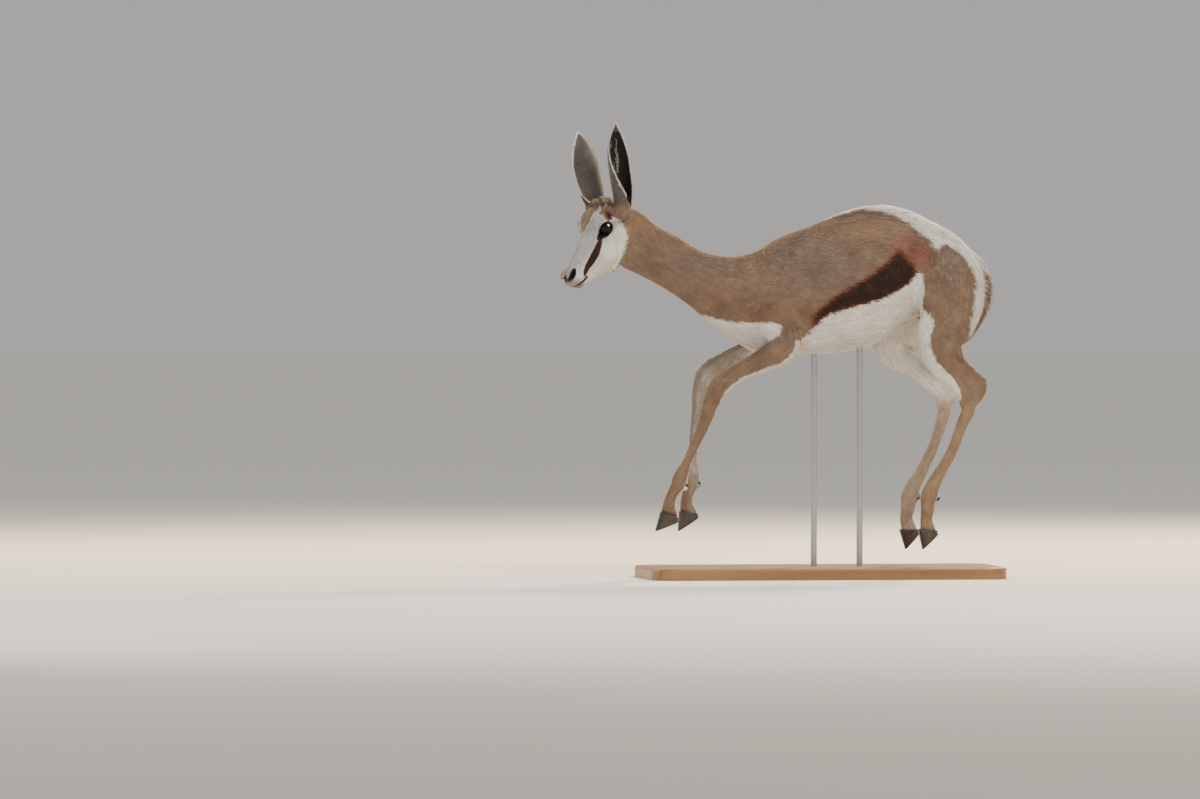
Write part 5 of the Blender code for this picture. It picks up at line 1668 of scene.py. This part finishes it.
horn_finish = keratin("horn_keratin", "#16120f", "#3a322b", HORN_RING_GAP, 0.48)
hoof_finish = keratin("hoof_keratin", "#191715", "#494239", HOOF_RING_GAP, 0.36)


def keratin_piece(name, rings, growth, finish, replaced):
    """One horn or claw from its sections; growth is each section's distance from the root."""
    places, faces = loft(rings)
    made = mesh_object(name, places, faces)
    values = np.repeat(np.array(growth, dtype=np.float32), len(rings[0]))
    layer = made.data.attributes.new("growth", "FLOAT", "POINT")
    layer.data.foreach_set("value", values)
    made.data.shade_smooth()
    made.data.set_sharp_from_angle(angle=math.radians(50))
    made.data.materials.append(finish)
    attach(made, "root")
    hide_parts(replaced)


print("ring gaps:", HORN_RING_GAP, "and", HOOF_RING_GAP, "mm")

# %% Horn buds
HORN_BASE = (-30.0, 33.0, 21.0)
HORN_RADIUS = 5.2
HORN_LENGTH = 24.0
HORN_SHAPE = ((-0.25, 1.0), (0.0, 1.0), (0.3, 0.86), (0.6, 0.62), (0.85, 0.34), (0.96, 0.16), (1.0, 0.05))
for way, side_name in ((1, "left"), (-1, "right")):
    base = on_head(twin(HORN_BASE, way))
    up = unit(HEAD_AXES @ np.array([-0.10, 0.97, 0.20 * way]))
    sideways = np.cross(up, HEAD_AXES[:, 0])
    rings = []
    growth = []
    for share in np.linspace(-0.25, 1.0, 40):
        radius = HORN_RADIUS * np.interp(share, *zip(*HORN_SHAPE))
        radius += 0.18 * math.sin(2 * math.pi * share * HORN_LENGTH / HORN_RING_GAP) * (share < 0.6)
        place = base + up * HORN_LENGTH * share
        rings.append(ring(place, HEAD_AXES[:, 0] * radius, sideways * radius))
        growth.append(share * HORN_LENGTH)
    keratin_piece(f"horn_bud_{side_name}", rings, growth, horn_finish, f"horn_{side_name}")
print("horn buds:", HORN_LENGTH, "mm")

# %% Cloven hooves
HOOF_DROP = 35.0
HOOF_BACK = 37.0
TOE_SET_BACK = {"fore": 2.8, "hind": 11.0}
CLAW_WIDTH = 13.0
CLAW_SPREAD = 1.2


def claw_rings(leg, inner):
    """Sections of one claw from just above the crown to the rounded sole."""
    front, down = hoof_axes(leg)
    crown = np.array(LEGS[leg][0][-1], dtype=float)
    way = OUTER_SIDE[leg.split("_")[1]] * (-1 if inner else 1)
    rings = []
    growth = []
    for t in [-0.12, -0.04] + list(np.linspace(0.0, 0.97, 22)) + [0.99, 1.0]:
        wear = 1.0 - 0.10 * max(0.0, (t - 0.97) / 0.03) ** 2
        toe = np.array([HOOF_BACK / 2 - TOE_SET_BACK[leg[:4]] * t, HOOF_DROP * t])
        heel_drop = 1.0 + 4.0 * t if t > 0 else HOOF_DROP * t
        heel = np.array([-HOOF_BACK / 2 - 1.5 * math.sin(math.pi * max(t, 0.0)), heel_drop])
        section = []
        for turn in np.linspace(0.0, math.pi, 29):
            share = (1 - math.cos(turn)) / 2
            bulge = CLAW_WIDTH * (1 - 0.3 * t * (1 - share)) * max(0.0, math.sin(turn)) ** 0.75
            bulge += 0.12 * math.sin(2 * math.pi * t * HOOF_DROP / HOOF_RING_GAP) * math.sin(turn)
            section.append((share, CLAW_SPREAD + bulge * wear))
        section += [(share, CLAW_SPREAD + 0.3 * (1 - wear)) for share in (0.85, 0.7, 0.55, 0.4, 0.25, 0.12)]
        middle = (toe + heel) / 2
        row = []
        for share, out in section:
            f, d = middle + (toe + (heel - toe) * share - middle) * wear
            row.append(crown + front * f + down * d + ACROSS * way * out)
        rings.append(np.array(row))
        growth.append(t * HOOF_DROP)
    return rings, growth


for leg in LEGS:
    for part in ("inner", "outer"):
        rings, growth = claw_rings(leg, part == "inner")
        keratin_piece(f"claw_{leg}_{part}", rings, growth, hoof_finish, f"hoof_{leg}_{part}")
print("claws:", 2 * len(LEGS))

# %% [markdown]
# ## The stand
# The base is a slab of oiled oak with eased edges: open pores run along the grain in dark
# dashes between paler and darker growth rings. The rods are brushed steel; fine scratches along
# the rod stretch each highlight. Both keep the solids' own shape.

# %% Oak and steel
RING_GAP = 7.0                       # millimetres between growth rings on a flat-sawn face
oak, tree, shader = new_material("oiled_oak", Roughness=0.42, IOR=1.5, Specular_IOR_Level=0.4,
                                 Coat_Weight=0.12, Coat_Roughness=0.3)
place = node(tree, "ShaderNodeTexCoord").outputs["Object"]
drawn_out = node(tree, "ShaderNodeMapping", Vector=place, Scale=(0.08, 1.0, 1.0))
warp = node(tree, "ShaderNodeTexNoise", Vector=drawn_out.outputs[0], Scale=28.0, Detail=3.0)
rings_of_growth = node(tree, "ShaderNodeTexWave", {"bands_direction": "Y", "wave_profile": "SAW"},
                       Vector=drawn_out.outputs[0], Scale=1000 / RING_GAP / 6.28, Distortion=9.0, Detail=2.0)
pores = node(tree, "ShaderNodeMapping", Vector=place, Scale=(60.0, 1400.0, 1400.0))
dashes = node(tree, "ShaderNodeTexNoise", Vector=pores.outputs[0], Scale=1.0, Detail=2.0)
pore_dark = node(tree, "ShaderNodeMapRange", i0=dashes.outputs[0], i1=0.56, i2=0.70, i3=0.0, i4=0.55)
share = node(tree, "ShaderNodeMath", {"operation": "MULTIPLY_ADD"}, i0=rings_of_growth.outputs["Fac"], i1=0.6,
             i2=warp.outputs[0])
band = node(tree, "ShaderNodeMapRange", i0=share.outputs[0], i1=0.35, i2=1.15)
tone = node(tree, "ShaderNodeMix", {"data_type": "RGBA"}, i0=band.outputs[0],
            i6=linear("#a57d52"), i7=linear("#7b5633"))
worked = node(tree, "ShaderNodeMix", {"data_type": "RGBA"}, i0=pore_dark.outputs[0],
              i6=tone.outputs[2], i7=linear("#4a3320"))
bump = node(tree, "ShaderNodeBump", {"invert": True}, Strength=0.25, Distance=0.0003,
            Height=pore_dark.outputs[0])
tree.links.new(worked.outputs[2], shader.inputs["Base Color"])
tree.links.new(bump.outputs[0], shader.inputs["Normal"])

steel, tree, shader = new_material("brushed_steel", Metallic=1.0, Roughness=0.32,
                                   Base_Color=linear("#b4b6b8"))
place = node(tree, "ShaderNodeTexCoord").outputs["Object"]
stroke = node(tree, "ShaderNodeMapping", Vector=place, Scale=(2600.0, 2600.0, 24.0))
scratch = node(tree, "ShaderNodeTexNoise", Vector=stroke.outputs[0], Scale=1.0, Detail=3.0)
rough = node(tree, "ShaderNodeMapRange", i0=scratch.outputs[0], i1=0.3, i2=0.7, i3=0.22, i4=0.42)
bump = node(tree, "ShaderNodeBump", Strength=0.15, Distance=0.0001, Height=scratch.outputs[0])
tree.links.new(rough.outputs[0], shader.inputs["Roughness"])
tree.links.new(bump.outputs[0], shader.inputs["Normal"])

for name, finish, slot_name in (("stand_base", oak, "base_wood"), ("stand_rod_front", steel, "rod_steel"),
                                ("stand_rod_rear", steel, "rod_steel")):
    solid = frame["nodes"][name]
    for slot_here in solid.material_slots:
        slot_here.material = finish
print("stand finished")

# %% Sizes of the solids and of the finished scene
size = {"cad": [list(corner) for corner in CAD_BOX], "visual": [list(corner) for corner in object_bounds()]}
